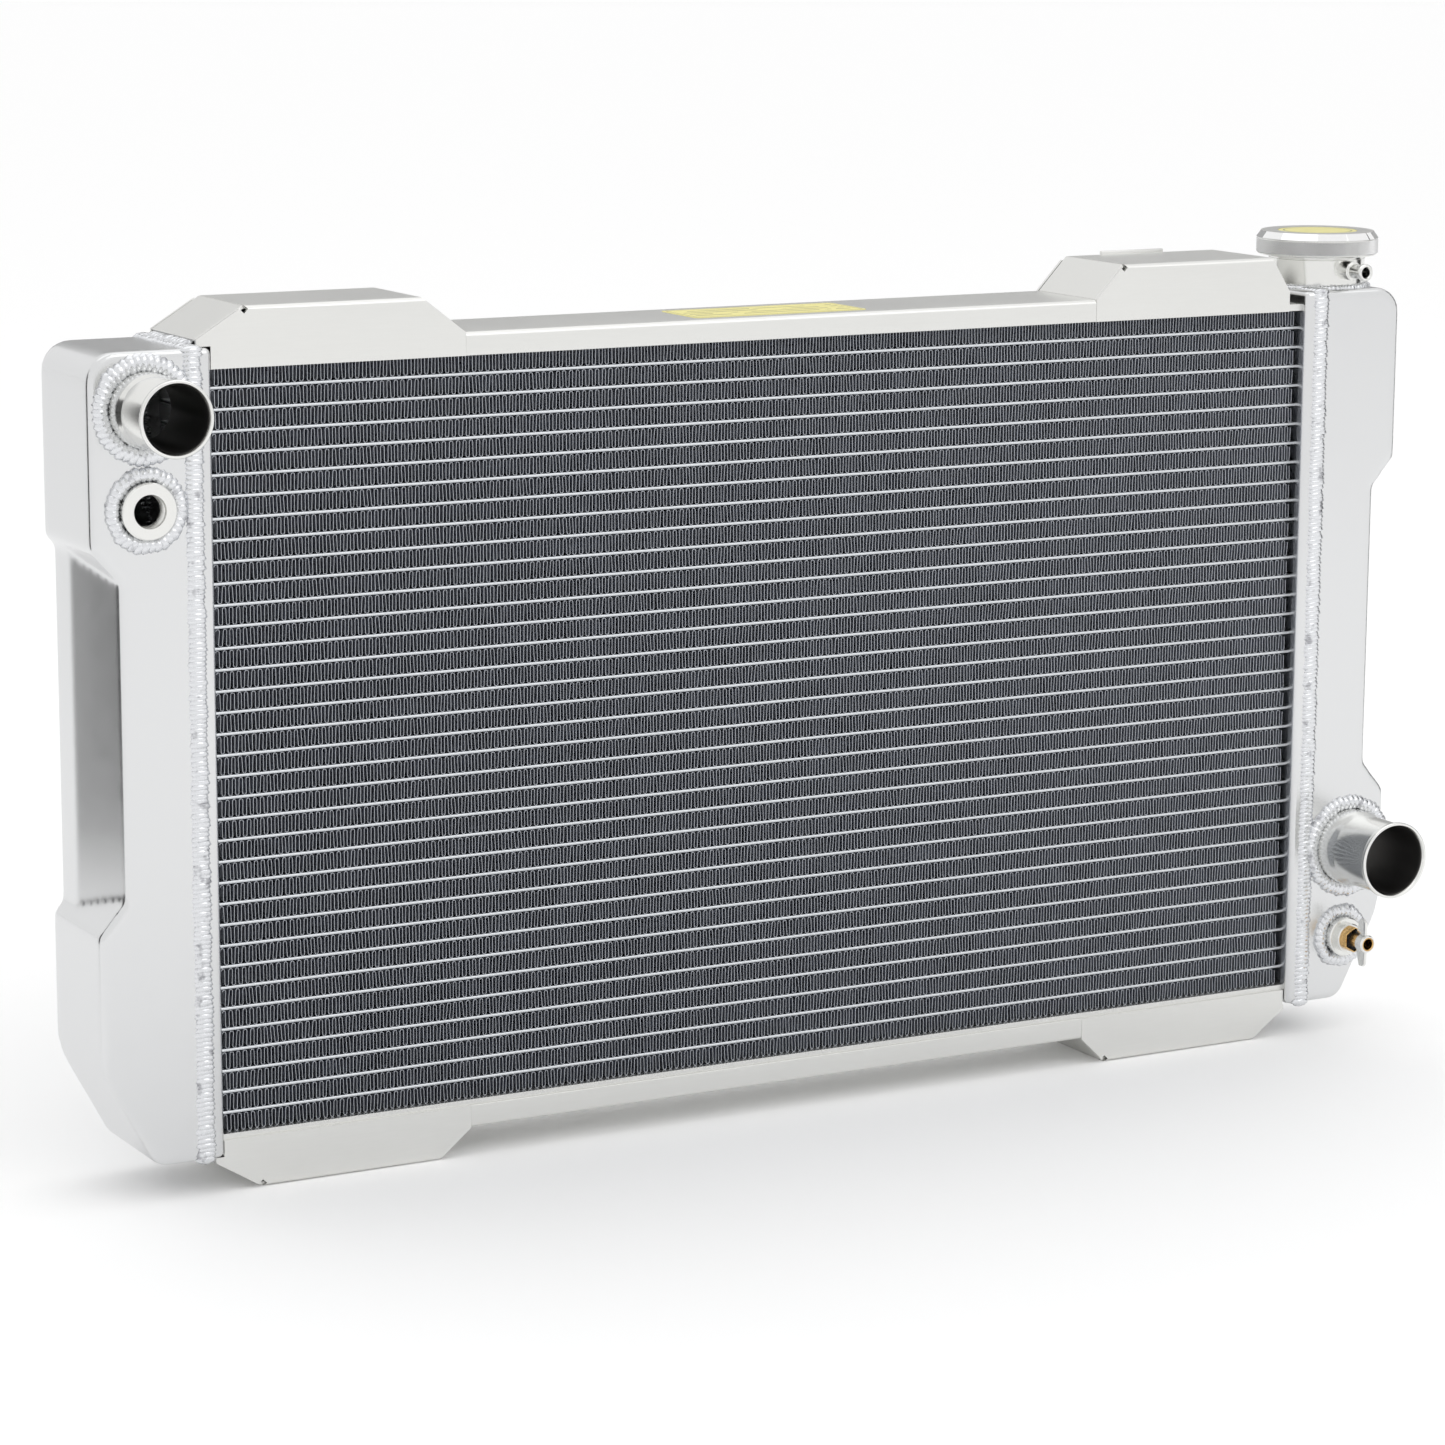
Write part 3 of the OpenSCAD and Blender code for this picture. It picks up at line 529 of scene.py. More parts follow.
def turned(name, colour, roughness, centre, pointing_front=False, rings=1400.0, bump=0.12):
    """Turned metal whose fine rings run about an axis through centre."""
    material, tree, shader, place_in = new_material(name)
    turn = (FORWARD, 0, 0) if pointing_front else (0, 0, 0)
    moved = add(tree, "VectorMath", {0: place_in, 1: centre}, operation="SUBTRACT").outputs[0]
    vector = add(tree, "Mapping", {"Vector": moved, "Rotation": turn}).outputs[0]
    marks = use_group(tree, turning_marks(), {"Vector": vector, "Rings": rings,
                                              "Roughness": roughness})
    grain = use_group(tree, metal_grain(), {
        "Vector": vector, "Colour": (*colour, 1), "Colour Spread": 0.05, "Broad Scale": 40.0})
    shader.inputs["Metallic"].default_value = 1.0
    tree.links.new(grain["Colour"], shader.inputs["Base Color"])
    tree.links.new(marks["Roughness"], shader.inputs["Roughness"])
    raise_bump(tree, shader, marks["Height"], bump, 0.0001)
    return material


def once(make):
    """Makes a material the first time it is asked for."""
    kept = {}

    def get():
        if "made" not in kept:
            kept["made"] = make()
        return kept["made"]

    return get


@once
def rolled_sheet():
    return grained("Rolled Sheet", finishes().sheet_colour, 0.34, stretch=(0.08, 1, 1),
                   colour_spread=0.05, fine=900.0, broad=5.0, bump=0.12)


@once
def formed_tank():
    return grained("Formed Tank", finishes().tank_colour, 0.24, colour_spread=0.025,
                   roughness_spread=0.08, fine=60.0, broad=9.0, bump=0.02)


@once
def bright_tube():
    return grained("Bright Tube", (0.62, 0.64, 0.66), 0.30, stretch=(0.05, 1, 1), fine=600.0,
                   colour_spread=0.10, broad=30.0)


@once
def dull_fin():
    """Dull fin sheet whose front and back edges are painted a lighter grey, a painted highlight; the stripes
    across its depth are its louvres.
    """
    low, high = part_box("fin_rows")
    material, tree, shader, place_in = new_material("Dull Fin")
    depth = add(tree, "SeparateXYZ", {"Vector": place_in}).outputs[1]
    from_middle = math(tree, "ABSOLUTE", math(tree, "SUBTRACT", depth, (low.y + high.y) / 2))
    # Painted highlight: within 0.35 mm of the core's front and back faces the fin sheet is painted a lighter
    # grey.
    edge = math(tree, "GREATER_THAN", from_middle, (high.y - low.y) / 2 - 0.00035)
    made = use_group(tree, metal_grain(), {
        "Vector": place_in, "Colour": (*finishes().fin_colour, 1), "Colour Spread": 0.5,
        "Roughness": 0.42, "Roughness Spread": 0.2, "Fine Scale": 350.0, "Broad Scale": 60.0})
    louvres = add(tree, "TexWave", {"Vector": place_in, "Scale": 260.0}, bands_direction="Y")
    shader.inputs["Metallic"].default_value = 0.85
    # Painted highlight: the lighter grey given to the fin edges.
    colour = add(tree, "MixRGB", {"Fac": edge, "Color1": made["Colour"],
                                  "Color2": (0.62, 0.64, 0.68, 1)}).outputs[0]
    tree.links.new(colour, shader.inputs["Base Color"])
    tree.links.new(made["Roughness"], shader.inputs["Roughness"])
    raise_bump(tree, shader, louvres.outputs["Fac"], 0.5, 0.0004)
    return material


@once
def weld_metal():
    material, tree, shader, place_in = new_material("Weld Metal")
    made = use_group(tree, weld_frost(), {"Vector": place_in, "Colour": (*finishes().weld_colour, 1)})
    shader.inputs["Metallic"].default_value = 1.0
    tree.links.new(made["Colour"], shader.inputs["Base Color"])
    tree.links.new(made["Roughness"], shader.inputs["Roughness"])
    raise_bump(tree, shader, made["Height"], 0.35, 0.0002)
    return material


# Painted shade: a near-black metal colour for the inside of a hose neck's bore, where the hole is in shade.
@once
def painted_shade_bore():
    return grained("Dull Bore", (0.16, 0.155, 0.15), 0.38, fine=300.0, broad=40.0, colour_spread=0.15)


@once
def valve_metal():
    return grained("Valve Metal", (0.60, 0.60, 0.58), 0.30, fine=900.0, broad=60.0)


@once
def spring_wire():
    return grained("Spring Wire", (0.58, 0.59, 0.60), 0.25, fine=1200.0, broad=80.0)


@once
def plated_wing():
    return grained("Plated Wing", (0.80, 0.80, 0.78), 0.18, fine=800.0, broad=90.0,
                   colour_spread=0.10, bump=0.08)


@once
def brass():
    return grained("Brass", finishes().brass_colour, 0.27, fine=1000.0, broad=110.0,
                   colour_spread=0.22, roughness_spread=0.18)


@once
def seal_rubber():
    material, tree, shader, place_in = new_material("Seal Rubber")
    made = use_group(tree, metal_grain(), {
        "Vector": place_in, "Colour": (0.022, 0.022, 0.023, 1), "Colour Spread": 0.4,
        "Roughness": 0.62, "Roughness Spread": 0.15, "Fine Scale": 1500.0, "Broad Scale": 120.0})
    tree.links.new(made["Colour"], shader.inputs["Base Color"])
    tree.links.new(made["Roughness"], shader.inputs["Roughness"])
    raise_bump(tree, shader, made["Height"], 0.25, 0.0002)
    return material


@once
def printed_label():
    """Label film with a thin printed frame and plain printed bars."""
    low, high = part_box("notice_label")
    half = (high - low) / 2
    material, tree, shader, place_in = new_material("Printed Label")
    moved = add(tree, "VectorMath", {0: place_in, 1: (low + high) / 2}, operation="SUBTRACT")
    apart = add(tree, "SeparateXYZ", {"Vector": moved.outputs[0]}).outputs
    from_x = math(tree, "SUBTRACT", half.x, math(tree, "ABSOLUTE", apart[0]))
    from_y = math(tree, "SUBTRACT", half.y, math(tree, "ABSOLUTE", apart[1]))
    edge = math(tree, "MINIMUM", from_x, from_y)
    framed = math(tree, "COMPARE", edge, 0.0022)
    tree.nodes[-1].inputs[2].default_value = 0.0004
    inside = math(tree, "GREATER_THAN", edge, 0.0055)
    bars = add(tree, "TexWave", {"Vector": moved.outputs[0], "Scale": 42.0}, bands_direction="Y")
    barred = math(tree, "GREATER_THAN", bars.outputs["Fac"], 0.80)
    broken = add(tree, "TexNoise", {"Vector": moved.outputs[0], "Scale": 55.0}).outputs["Fac"]
    ink = math(tree, "MULTIPLY", math(tree, "MULTIPLY", inside, barred),
               math(tree, "GREATER_THAN", broken, 0.44))
    printed = math(tree, "MAXIMUM", framed, ink)
    faded = add(tree, "TexNoise", {"Vector": place_in, "Scale": 30.0, "Detail": 3.0}).outputs["Fac"]
    film = add(tree, "HueSaturation", {
        "Value": math(tree, "ADD", math(tree, "MULTIPLY", faded, 0.12), 0.94),
        "Color": (*finishes().label_colour, 1)}).outputs[0]
    colour = add(tree, "MixRGB", {"Fac": math(tree, "MULTIPLY", printed, 0.75), "Color1": film,
                                  "Color2": (0.20, 0.19, 0.12, 1)}).outputs[0]
    tree.links.new(colour, shader.inputs["Base Color"])
    tree.links.new(math(tree, "ADD", math(tree, "MULTIPLY", faded, 0.2), 0.38),
                   shader.inputs["Roughness"])
    shader.inputs["Specular IOR Level"].default_value = 0.25
    return material


@once
def printed_disc():
    """The cap's disc: printed film with a plain ring near its edge."""
    low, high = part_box("cap_disc")
    centre = (low + high) / 2
    reach = (high.x - low.x) / 2
    material, tree, shader, place_in = new_material("Printed Disc")
    moved = add(tree, "VectorMath", {0: place_in, 1: centre}, operation="SUBTRACT").outputs[0]
    apart = add(tree, "SeparateXYZ", {"Vector": moved}).outputs
    radius = math(tree, "SQRT", math(tree, "ADD", math(tree, "MULTIPLY", apart[0], apart[0]),
                                     math(tree, "MULTIPLY", apart[1], apart[1])))
    ring = math(tree, "COMPARE", radius, reach * 0.86)
    tree.nodes[-1].inputs[2].default_value = 0.0005
    patch = add(tree, "TexNoise", {"Vector": moved, "Scale": 60.0}).outputs["Fac"]
    film = add(tree, "HueSaturation", {
        "Value": math(tree, "ADD", math(tree, "MULTIPLY", patch, 0.2), 0.88),
        "Color": (*finishes().label_colour, 1)}).outputs[0]
    colour = add(tree, "MixRGB", {"Fac": math(tree, "MULTIPLY", ring, 0.7), "Color1": film,
                                  "Color2": (0.12, 0.16, 0.12, 1)}).outputs[0]
    tree.links.new(colour, shader.inputs["Base Color"])
    shader.inputs["Roughness"].default_value = 0.35
    shader.inputs["Specular IOR Level"].default_value = 0.25
    return material


# ---------- pieces ----------


def fin_rows(first, count, pitch_z):
    """Rows of corrugated fin: hairpin bends joined by straight legs, copied along and up."""
    s = sizes()
    low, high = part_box("fin_rows")
    pitch = s.fin_pitch
    row_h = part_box("front_tubes")[0].z - low.z
    bend = pitch / 2
    past_cad = 0.006
    legs = int((high.x - low.x + 2 * past_cad) / pitch) // 2 * 2
    start = -legs * pitch / 2
    half = s.fin_sheet / 2
    top = row_h - half - bend
    turn = 4
    up = [(bend - bend * cos(pi * i / turn), top + bend * sin(pi * i / turn))
          for i in range(turn + 1)]
    down = [(3 * bend - bend * cos(pi * i / turn), half + bend - bend * sin(pi * i / turn))
            for i in range(turn + 1)]
    next_leg = [(4 * bend, top)]
    z = low.z + first * pitch_z
    obj = wire("fins", [(start + x, low.y, z + h) for x, h in up + down + next_leg])
    edit(obj)
    bpy.ops.mesh.select_all(action="SELECT")
    bpy.ops.mesh.extrude_region_move(TRANSFORM_OT_translate={"value": (0, high.y - low.y, 0)})
    leave_edit()
    apply_modifier(obj, "ARRAY", count=legs // 2, use_relative_offset=False,
                   use_constant_offset=True, constant_offset_displace=(2 * pitch, 0, 0),
                   use_merge_vertices=True, merge_threshold=1e-5)
    apply_modifier(obj, "SOLIDIFY", thickness=s.fin_sheet, offset=0)
    apply_modifier(obj, "ARRAY", count=count, use_relative_offset=False,
                   use_constant_offset=True, constant_offset_displace=(0, 0, pitch_z))
    for v in obj.data.vertices:
        lean = noise.noise(Vector((v.co.x * 160, 0, v.co.z * 130)))
        v.co.x += lean * s.fin_wander
    return obj


class RADIATOR_OT_core(bpy.types.Operator):
    """Adds the corrugated fins at their real pitch, and finishes the tubes and core plates"""

    bl_idname = "radiator.core"
    bl_label = "Core"

    def execute(self, context):
        low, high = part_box("fin_rows")
        row_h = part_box("front_tubes")[0].z - low.z
        rows = TUBE_COUNT + 1
        pitch_z = (high.z - low.z - row_h) / (rows - 1)
        batch = 6
        for n in range(rows // batch):
            piece = fin_rows(n * batch, batch, pitch_z)
            piece.name = f"fins_{n + 1}"
            finish_piece(piece, "root", ["fin_rows"], dull_fin(), radians(60))
        for node in ("front_tubes", "rear_tubes"):
            dress(node, bright_tube())
        for node in ("core_plate_top", "core_plate_bottom"):
            dress(node, rolled_sheet())
        return {"FINISHED"}


def tube_slots(side, wall):
    """Cutter for the header's slots, one for each tube."""
    low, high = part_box("front_tubes")
    rear_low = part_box("rear_tubes")[0]
    row_gap = rear_low.y - low.y
    width = high.y - low.y
    thick = 0.002
    pitch_z = (high.z - low.z - thick) / (TUBE_COUNT - 1)
    bend = thick / 2
    outline = [(width / 2 - bend + a, b) for a, b in arc((0, 0), bend, -90, 90, 4)]
    outline += [(-width / 2 + bend + a, b) for a, b in arc((0, 0), bend, 90, 270, 4)]
    slot = prism("slot", outline, -2 * wall, 2 * wall)
    turn = Matrix.Rotation(FORWARD, 4, "Z") @ Matrix.Rotation(FORWARD, 4, "X")
    place(slot, Matrix.Translation(at_end(side, 0, low.y + width / 2, low.z + bend)) @ turn)
    apply_modifier(slot, "ARRAY", count=TUBE_COUNT, use_relative_offset=False, use_constant_offset=True,
                   constant_offset_displace=(0, 0, pitch_z))
    apply_modifier(slot, "ARRAY", count=2, use_relative_offset=False, use_constant_offset=True,
                   constant_offset_displace=(0, row_gap, 0))
    return slot


class RADIATOR_OT_headers(bpy.types.Operator):
    """Adds the two slotted headers, formed trays that the tubes pass through"""

    bl_idname = "radiator.headers"
    bl_label = "Headers"

    def execute(self, context):
        s = sizes()
        fold = 0.0035
        for side, node in ((LEFT, "header_left"), (RIGHT, "header_right")):
            seam_x = side * (HALF_CORE + SEAM_U)
            tray = block(node + "_tray", at_end(side, 0, FRONT_Y, TANK_LOW.z),
                         at_end(side, SEAM_U, BACK_Y, TANK_HIGH.z))
            delete_faces(tray, lambda f: abs(f.calc_center_median().x - seam_x) < 1e-5)
            soften(tray, fold, 4)
            thicken(tray, s.wall)
            cut_with(tray, tube_slots(side, s.wall))
            finish_piece(tray, "root", [node], formed_tank())
        return {"FINISHED"}


def recess_cutter(side, name, floor_u, end_u=None, depth=0):
    """Cutter for the recessed outer side; its ends slope outwards.
    Its floor may slope too, from floor_u at the front to end_u at a depth behind it."""
    front_u, slope = 0.054, 1.17
    top, low = TANK_HIGH.z - 0.123, TANK_LOW.z + 0.150
    past = 0.002
    rise = (TANK_U + past - front_u) * slope
    cutter = block(name, at_end(side, floor_u, FRONT_Y - past, low - rise),
                   at_end(side, TANK_U + past, BACK_Y + past, top + rise))
    slice_off(cutter, at_end(side, front_u, 0, top), along(side, -slope, 0, 1).normalized())
    slice_off(cutter, at_end(side, front_u, 0, low), along(side, -slope, 0, -1).normalized())
    if end_u is not None:
        slice_off(cutter, at_end(side, floor_u, FRONT_Y, 0),
                  along(side, -depth, end_u - floor_u, 0).normalized())
    return cutter


def tank_body(side, name):
    """One tank, formed from a block: slanted corner, rounded corners, recess, edges."""
    s = sizes()
    run, rise = 0.030, 0.056
    slant = atan(run / rise)
    body = block(name, at_end(side, SEAM_U - 0.008, FRONT_Y, TANK_LOW.z),
                 at_end(side, TANK_U, BACK_Y, TANK_HIGH.z))
    slice_off(body, at_end(side, TANK_U, 0, TANK_LOW.z + rise), along(side, rise, 0, -run).normalized())
    corners = [
        (TANK_U, TANK_HIGH.z, 0.016),
        (TANK_U, TANK_LOW.z + rise, 0.044 * tan(slant / 2)),
        (TANK_U - run, TANK_LOW.z, 0.010 * tan((FORWARD - slant) / 2)),
    ]
    for u, z, offset in corners:
        x = side * (HALF_CORE + u)

        def across_depth(e):
            return all(abs(v.co.x - x) < 1e-5 and abs(v.co.z - z) < 1e-5 for v in e.verts)

        bevel_edges(body, across_depth, offset, 8)
    strip_u, strip = 0.0645, 0.023
    cut_with(body, recess_cutter(side, "deep_recess", 0.054, strip_u, BACK_Y - strip - FRONT_Y))
    cut_with(body, recess_cutter(side, "flat_recess", strip_u))
    apply_modifier(body, "REMESH", mode="VOXEL", voxel_size=s.tank_grid)
    apply_modifier(body, "SMOOTH", factor=0.5, iterations=s.tank_rounding)
    apply_modifier(body, "DECIMATE", ratio=0.3)
    slice_off(body, at_end(side, SEAM_U, 0, 0), along(side, -1, 0, 0))
    seam_x = side * (HALF_CORE + SEAM_U)
    delete_faces(body, lambda f: abs(f.calc_center_median().x - seam_x) < 1e-5)
    return point_outwards(body)


def front_holes(body, nodes):
    for node, radius in nodes:
        centre = middle(node)
        drill = rod("drill", radius + 0.0001, -0.012, 0.012)
        cut_with(body, place(drill, facing_front(centre.x, centre.z)))


class RADIATOR_OT_tanks(bpy.types.Operator):
    """Adds the two hollow end tanks, with holes for their necks and bosses"""

    bl_idname = "radiator.tanks"
    bl_label = "Tanks"

    def execute(self, context):
        for side, node, holes in (
                (LEFT, "tank_left", [("inlet_neck", 0.02035), ("sensor_boss", 0.0155)]),
                (RIGHT, "tank_right", [("outlet_neck", 0.0235), ("drain_boss", 0.0123)])):
            body = tank_body(side, node + "_shell")
            thicken(body, sizes().wall)
            front_holes(body, holes)
            if side == RIGHT:
                centre = middle("filler_neck")
                drill = rod("drill", 0.0201, TANK_HIGH.z - 0.01, TANK_HIGH.z + 0.01)
                cut_with(body, place(drill, Matrix.Translation((centre.x, MID_Y, 0))))
            finish_piece(body, "root", [node], formed_tank())
        return {"FINISHED"}


def ripple(across, length, height, lean=24):
    """One ripple of a weld: a flattened drop that leans back along the bead's path (y)."""
    clear_selection()
    bpy.ops.mesh.primitive_uv_sphere_add(segments=8, ring_count=6, radius=1)
    drop = bpy.context.object
    drop.scale = (across, length, height)
    drop.rotation_euler = (radians(lean), 0, 0)
    return apply_place(drop)


def lay_ripples(name, drop, path, seed, spread=0.10):
    """Copies a ripple to each (point, normal, heading) of a path, each a little different."""
    random = Random(seed)
    copies = []
    for point, normal, heading in path:
        side = Vector(heading).cross(Vector(normal)).normalized()
        turn = Matrix((side, heading, normal)).transposed().to_4x4()
        grow = Matrix.Diagonal([1 + random.uniform(-spread, spread) for _ in range(3)] + [1])
        shift = Vector(side) * random.uniform(-0.0004, 0.0004)
        copies.append(copy_of(drop, Matrix.Translation(Vector(point) + shift) @ turn @ grow))
    bpy.data.objects.remove(drop)
    return join(name, copies)


def seam_path(side, sink, pitch):
    """Places around the seam between header and tank."""
    x = side * (HALF_CORE + sizes().seam_centre)
    low, high = TANK_LOW.z + sink, TANK_HIGH.z - sink
    front, back = FRONT_Y + sink, BACK_Y - sink
    runs = [((x, front, low), (x, front, high), (0, -1, 0)),
            ((x, front, high), (x, back, high), (0, 0, 1)),
            ((x, back, high), (x, back, low), (0, 1, 0)),
            ((x, back, low), (x, front, low), (0, 0, -1))]
    for start, end, normal in runs:
        start, end = Vector(start), Vector(end)
        count = round((end - start).length / pitch)
        for i in range(count):
            yield start + (end - start) * i / count, Vector(normal), (end - start).normalized()


def ring_path(centre, radius, pitch, turn):
    """Places around a neck or boss; turn is the matrix that faces the ring."""
    count = round(2 * pi * radius / pitch)
    for i in range(count):
        a = 2 * pi * i / count
        point = turn @ Vector((radius * cos(a), radius * sin(a), 0))
        heading = turn.to_3x3() @ Vector((-sin(a), cos(a), 0))
        yield Vector(centre) + point, turn.to_3x3() @ Vector((0, 0, 1)), heading


class RADIATOR_OT_welds(bpy.types.Operator):
    """Adds the rippled beads around the seams, necks and bosses and on the bracket's foot"""

    bl_idname = "radiator.welds"
    bl_label = "Welds"

    def execute(self, context):
        pitch = sizes().ripple_pitch
        cap_centre = middle("filler_neck")
        for side, node in ((LEFT, "seam_weld_left"), (RIGHT, "seam_weld_right")):
            clear_of_neck = 0.0293
            path = [p for p in seam_path(side, 0.0007, pitch)
                    if side == LEFT or p[0].z < TANK_HIGH.z - 0.002
                    or hypot(p[0].x - cap_centre.x, p[0].y - MID_Y) > clear_of_neck]
            drop = ripple(sizes().seam_half, 0.0031, 0.0026)
            bead = lay_ripples(node + "_bead", drop, path, 11 + side)
            finish_piece(bead, "root", [node], weld_metal(), radians(50))
        front = Matrix.Rotation(FORWARD, 4, "X")
        rings = [("inlet_weld", "inlet_neck", 0.02035, 0.0098),
                 ("sensor_weld", "sensor_boss", 0.0155, 0.0082),
                 ("outlet_weld", "outlet_neck", 0.0235, 0.0088),
                 ("drain_weld", "drain_boss", 0.0123, 0.0080)]
        for number, (node, neck, radius, width) in enumerate(rings):
            centre = middle(neck)
            path = ring_path((centre.x, FRONT_Y, centre.z), radius + width * 0.45, pitch * 1.35, front)
            drop = ripple(width * 0.56, 0.0042, 0.0034, 30)
            bead = lay_ripples(node + "_bead", drop, path, 20 + number)
            finish_piece(bead, "root", [node], weld_metal(), radians(50))
        path = ring_path((cap_centre.x, MID_Y, TANK_HIGH.z), 0.0308, pitch, Matrix.Identity(4))
        bead = lay_ripples("filler_weld_bead", ripple(0.0022, 0.0026, 0.0022), list(path), 31)
        finish_piece(bead, "root", ["filler_weld"], weld_metal(), radians(50))
        low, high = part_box("bracket_weld")
        step = 0.0040
        count = round((high.y - low.y) / step)
        foot = [(Vector(((low.x + high.x) / 2, low.y + step * (i + 0.5), low.z + 0.0007)),
                 Vector((0, 0, 1)), Vector((0, 1, 0))) for i in range(count)]
        bead = lay_ripples("bracket_weld_bead", ripple(0.0046, 0.0032, 0.0030, 15), foot, 41)
        finish_piece(bead, "root", ["bracket_weld"], weld_metal(), radians(50))
        return {"FINISHED"}


def folded_channel(name, low, high, upwards):
    """Folded channel with its web away from the core."""
    s = sizes()
    tray = block(name, low, high)
    web_z = high.z if upwards else low.z
    rim_z = low.z if upwards else high.z

    def is_open(f):
        centre = f.calc_center_median()
        return abs(centre.z - rim_z) < 1e-5 or abs(abs(f.normal.x) - 1) < 1e-3

    delete_faces(tray, is_open)
    bevel_edges(tray, lambda e: all(abs(v.co.z - web_z) < 1e-5 for v in e.verts)
                and abs(e.verts[0].co.y - e.verts[1].co.y) < 1e-5, s.bend, 5)
    point_outwards(tray)
    return thicken(tray, s.sheet)


class RADIATOR_OT_channels(bpy.types.Operator):
    """Adds the upper and lower side channels, folded from sheet"""

    bl_idname = "radiator.channels"
    bl_label = "Channels"

    def execute(self, context):
        for node, upwards in (("channel_top", True), ("channel_bottom", False)):
            low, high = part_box(node)
            tray = folded_channel(node + "_sheet", low, high, upwards)
            soften(tray, 0.0002, 1)
            finish_piece(tray, "root", [node], rolled_sheet())
        return {"FINISHED"}


def bracket_flap(name, a, b, y_low, y_high, sheet, away):
    """Flat flap of sheet along the slope from a to b, both (x, z), with its outside on the line."""
    (x0, z0), (x1, z1) = a, b
    length = hypot(x1 - x0, z1 - z0)
    turn = atan2(z1 - z0, x1 - x0)
    flap = block(name, (0, y_low, -sheet if away * cos(turn) > 0 else 0),
                 (length, y_high, 0 if away * cos(turn) > 0 else sheet))
    soften(flap, 0.0003, 1)
    return place(flap, Matrix.Translation((x0, 0, z0)) @ Matrix.Rotation(-turn, 4, "Y"))


def folded_bracket(name, side, away, base_z, end, plate, foot, edge, step, rise):
    """Bracket: plate and flanges in one fold, and a flap on each slope with a slit beside it.
    away is 1 above the core and -1 below; distances run inwards from the end of the core."""
    s = sizes()
    channel_h = 0.013
    high = channel_h + rise
    y_low, y_high = MID_Y - 0.033, MID_Y + 0.033

    def spot(u, h, y=MID_Y):
        return Vector((side * (HALF_CORE - u), y, base_z + away * h))

    def way(u, h):
        return Vector((-side * u, 0, away * h)).normalized()

    hat = block(name, spot(foot[0], 0, y_low), spot(end, high, y_high))
    outer_n = way(-(high - foot[1]), plate[0] - foot[0])
    inner_n = way(high - channel_h, end - plate[1])
    slice_off(hat, spot(plate[0], high), outer_n)
    slice_off(hat, spot(plate[1], high), inner_n)

    def is_open(f):
        return abs(f.normal.y) < 0.5 and f.normal.z * away < 0.99

    delete_faces(hat, is_open)
    plate_z = base_z + away * high
    bevel_edges(hat, lambda e: all(abs(v.co.z - plate_z) < 1e-5 for v in e.verts)
                and abs(e.verts[0].co.y - e.verts[1].co.y) < 1e-5, s.bend, 5)
    point_outwards(hat)
    outward = any(abs(p.normal.z * away - 1) < 1e-3 for p in hat.data.polygons)
    if not outward:
        edit(hat)
        bpy.ops.mesh.select_all(action="SELECT")
        bpy.ops.mesh.flip_normals()
        leave_edit()
    thicken(hat, s.sheet)
    past = 0.002
    if foot[0] < edge:
        cut_with(hat, block("step", spot(foot[0] - past, -past, y_low - past),
                            spot(edge, step, y_high + past)))
    for u in plate[:1] if side == LEFT else plate[1:]:
        for y in (y_low, y_high):
            notch = rod("notch", 0.0024, -0.0035, 0.0035, 4)
            centre = spot(u, high - s.bend * 0.7, y)
            cut_with(hat, place(notch, Matrix.Translation(centre) @ Matrix.Rotation(FORWARD, 4, "X")))
    inner = s.sheet + s.flap_gap
    flaps = [
        bracket_flap("flap", (spot(*foot).x, spot(*foot).z), (spot(plate[0], high).x, plate_z),
                     y_low + inner, y_high - inner, s.sheet, away),
        bracket_flap("flap", (spot(plate[1], high).x, plate_z),
                     (spot(end, channel_h).x, spot(end, channel_h).z),
                     y_low + inner, y_high - inner, s.sheet, away)]
    return join(name, [hat, *flaps])


class RADIATOR_OT_brackets(bpy.types.Operator):
    """Adds the four folded mounting brackets"""

    bl_idname = "radiator.brackets"
    bl_label = "Brackets"

    def execute(self, context):
        end = 0.150
        below = STACK_LOW - 0.003
        top_rise = 0.020
        step_top, step_low = 0.0123, 0.0093
        rows = [
            ("bracket_top_left", LEFT, 1, STACK_TOP, (0.020, 0.124), (-0.0076, 0.0161), 0.0005,
             step_top, top_rise),
            ("bracket_top_right", RIGHT, 1, STACK_TOP, (0.024, 0.131), (0.0106, 0.012), 0.005,
             step_top, top_rise),
            ("bracket_bottom_left", LEFT, -1, below, (0.023, 0.130), (-0.004, 0.0126), 0.0005,
             step_low, 0.0164),
            ("bracket_bottom_right", RIGHT, -1, below, (0.024, 0.133), (0.0, 0.012), 0.0005,
             step_low, 0.0164)]
        for node, side, away, base_z, plate, foot, edge, step, rise in rows:
            bracket = folded_bracket(node + "_sheet", side, away, base_z, end, plate, foot, edge,
                                     step, rise)
            if node == "bracket_top_right":
                x_in, x_out = HALF_CORE - 0.105, HALF_CORE - 0.060
                top = STACK_TOP + 0.033
                lip = block("lip", (x_in, MID_Y + 0.031, top - 0.001), (x_out, MID_Y + 0.033, top + 0.002))
                soften(lip, 0.0004, 2)
                bracket = join(bracket.name, [bracket, lip])
            finish_piece(bracket, "root", [node], rolled_sheet())
        return {"FINISHED"}


def hose_neck_profile(radius, wall, reach):
    """Profile of a neck: stepped foot, straight stretch, groove and flared, rolled lip."""
    base, inner = radius + 0.0013, radius - wall
    lip = reach - 0.0034
    bead = 0.0008
    outer_lip = [(radius + 0.0016 - bead + a, reach - bead + b) for a, b in arc((0, 0), bead, 0, 90, 4)]
    return [(inner, -0.006), (base, -0.006), (base, 0.0115), (base - 0.0004, 0.0125),
            (radius + 0.0002, 0.0158), (radius, 0.0165), (radius, lip - 0.0030),
            (radius - 0.0003, lip - 0.0022), (radius - 0.0003, lip - 0.0012), (radius, lip),
            (radius + 0.0012, lip + 0.0006), (radius + 0.0016, lip + 0.0014), *outer_lip,
            (inner + 0.0016, reach), (inner + 0.0007, reach - 0.0012), (inner, lip)]


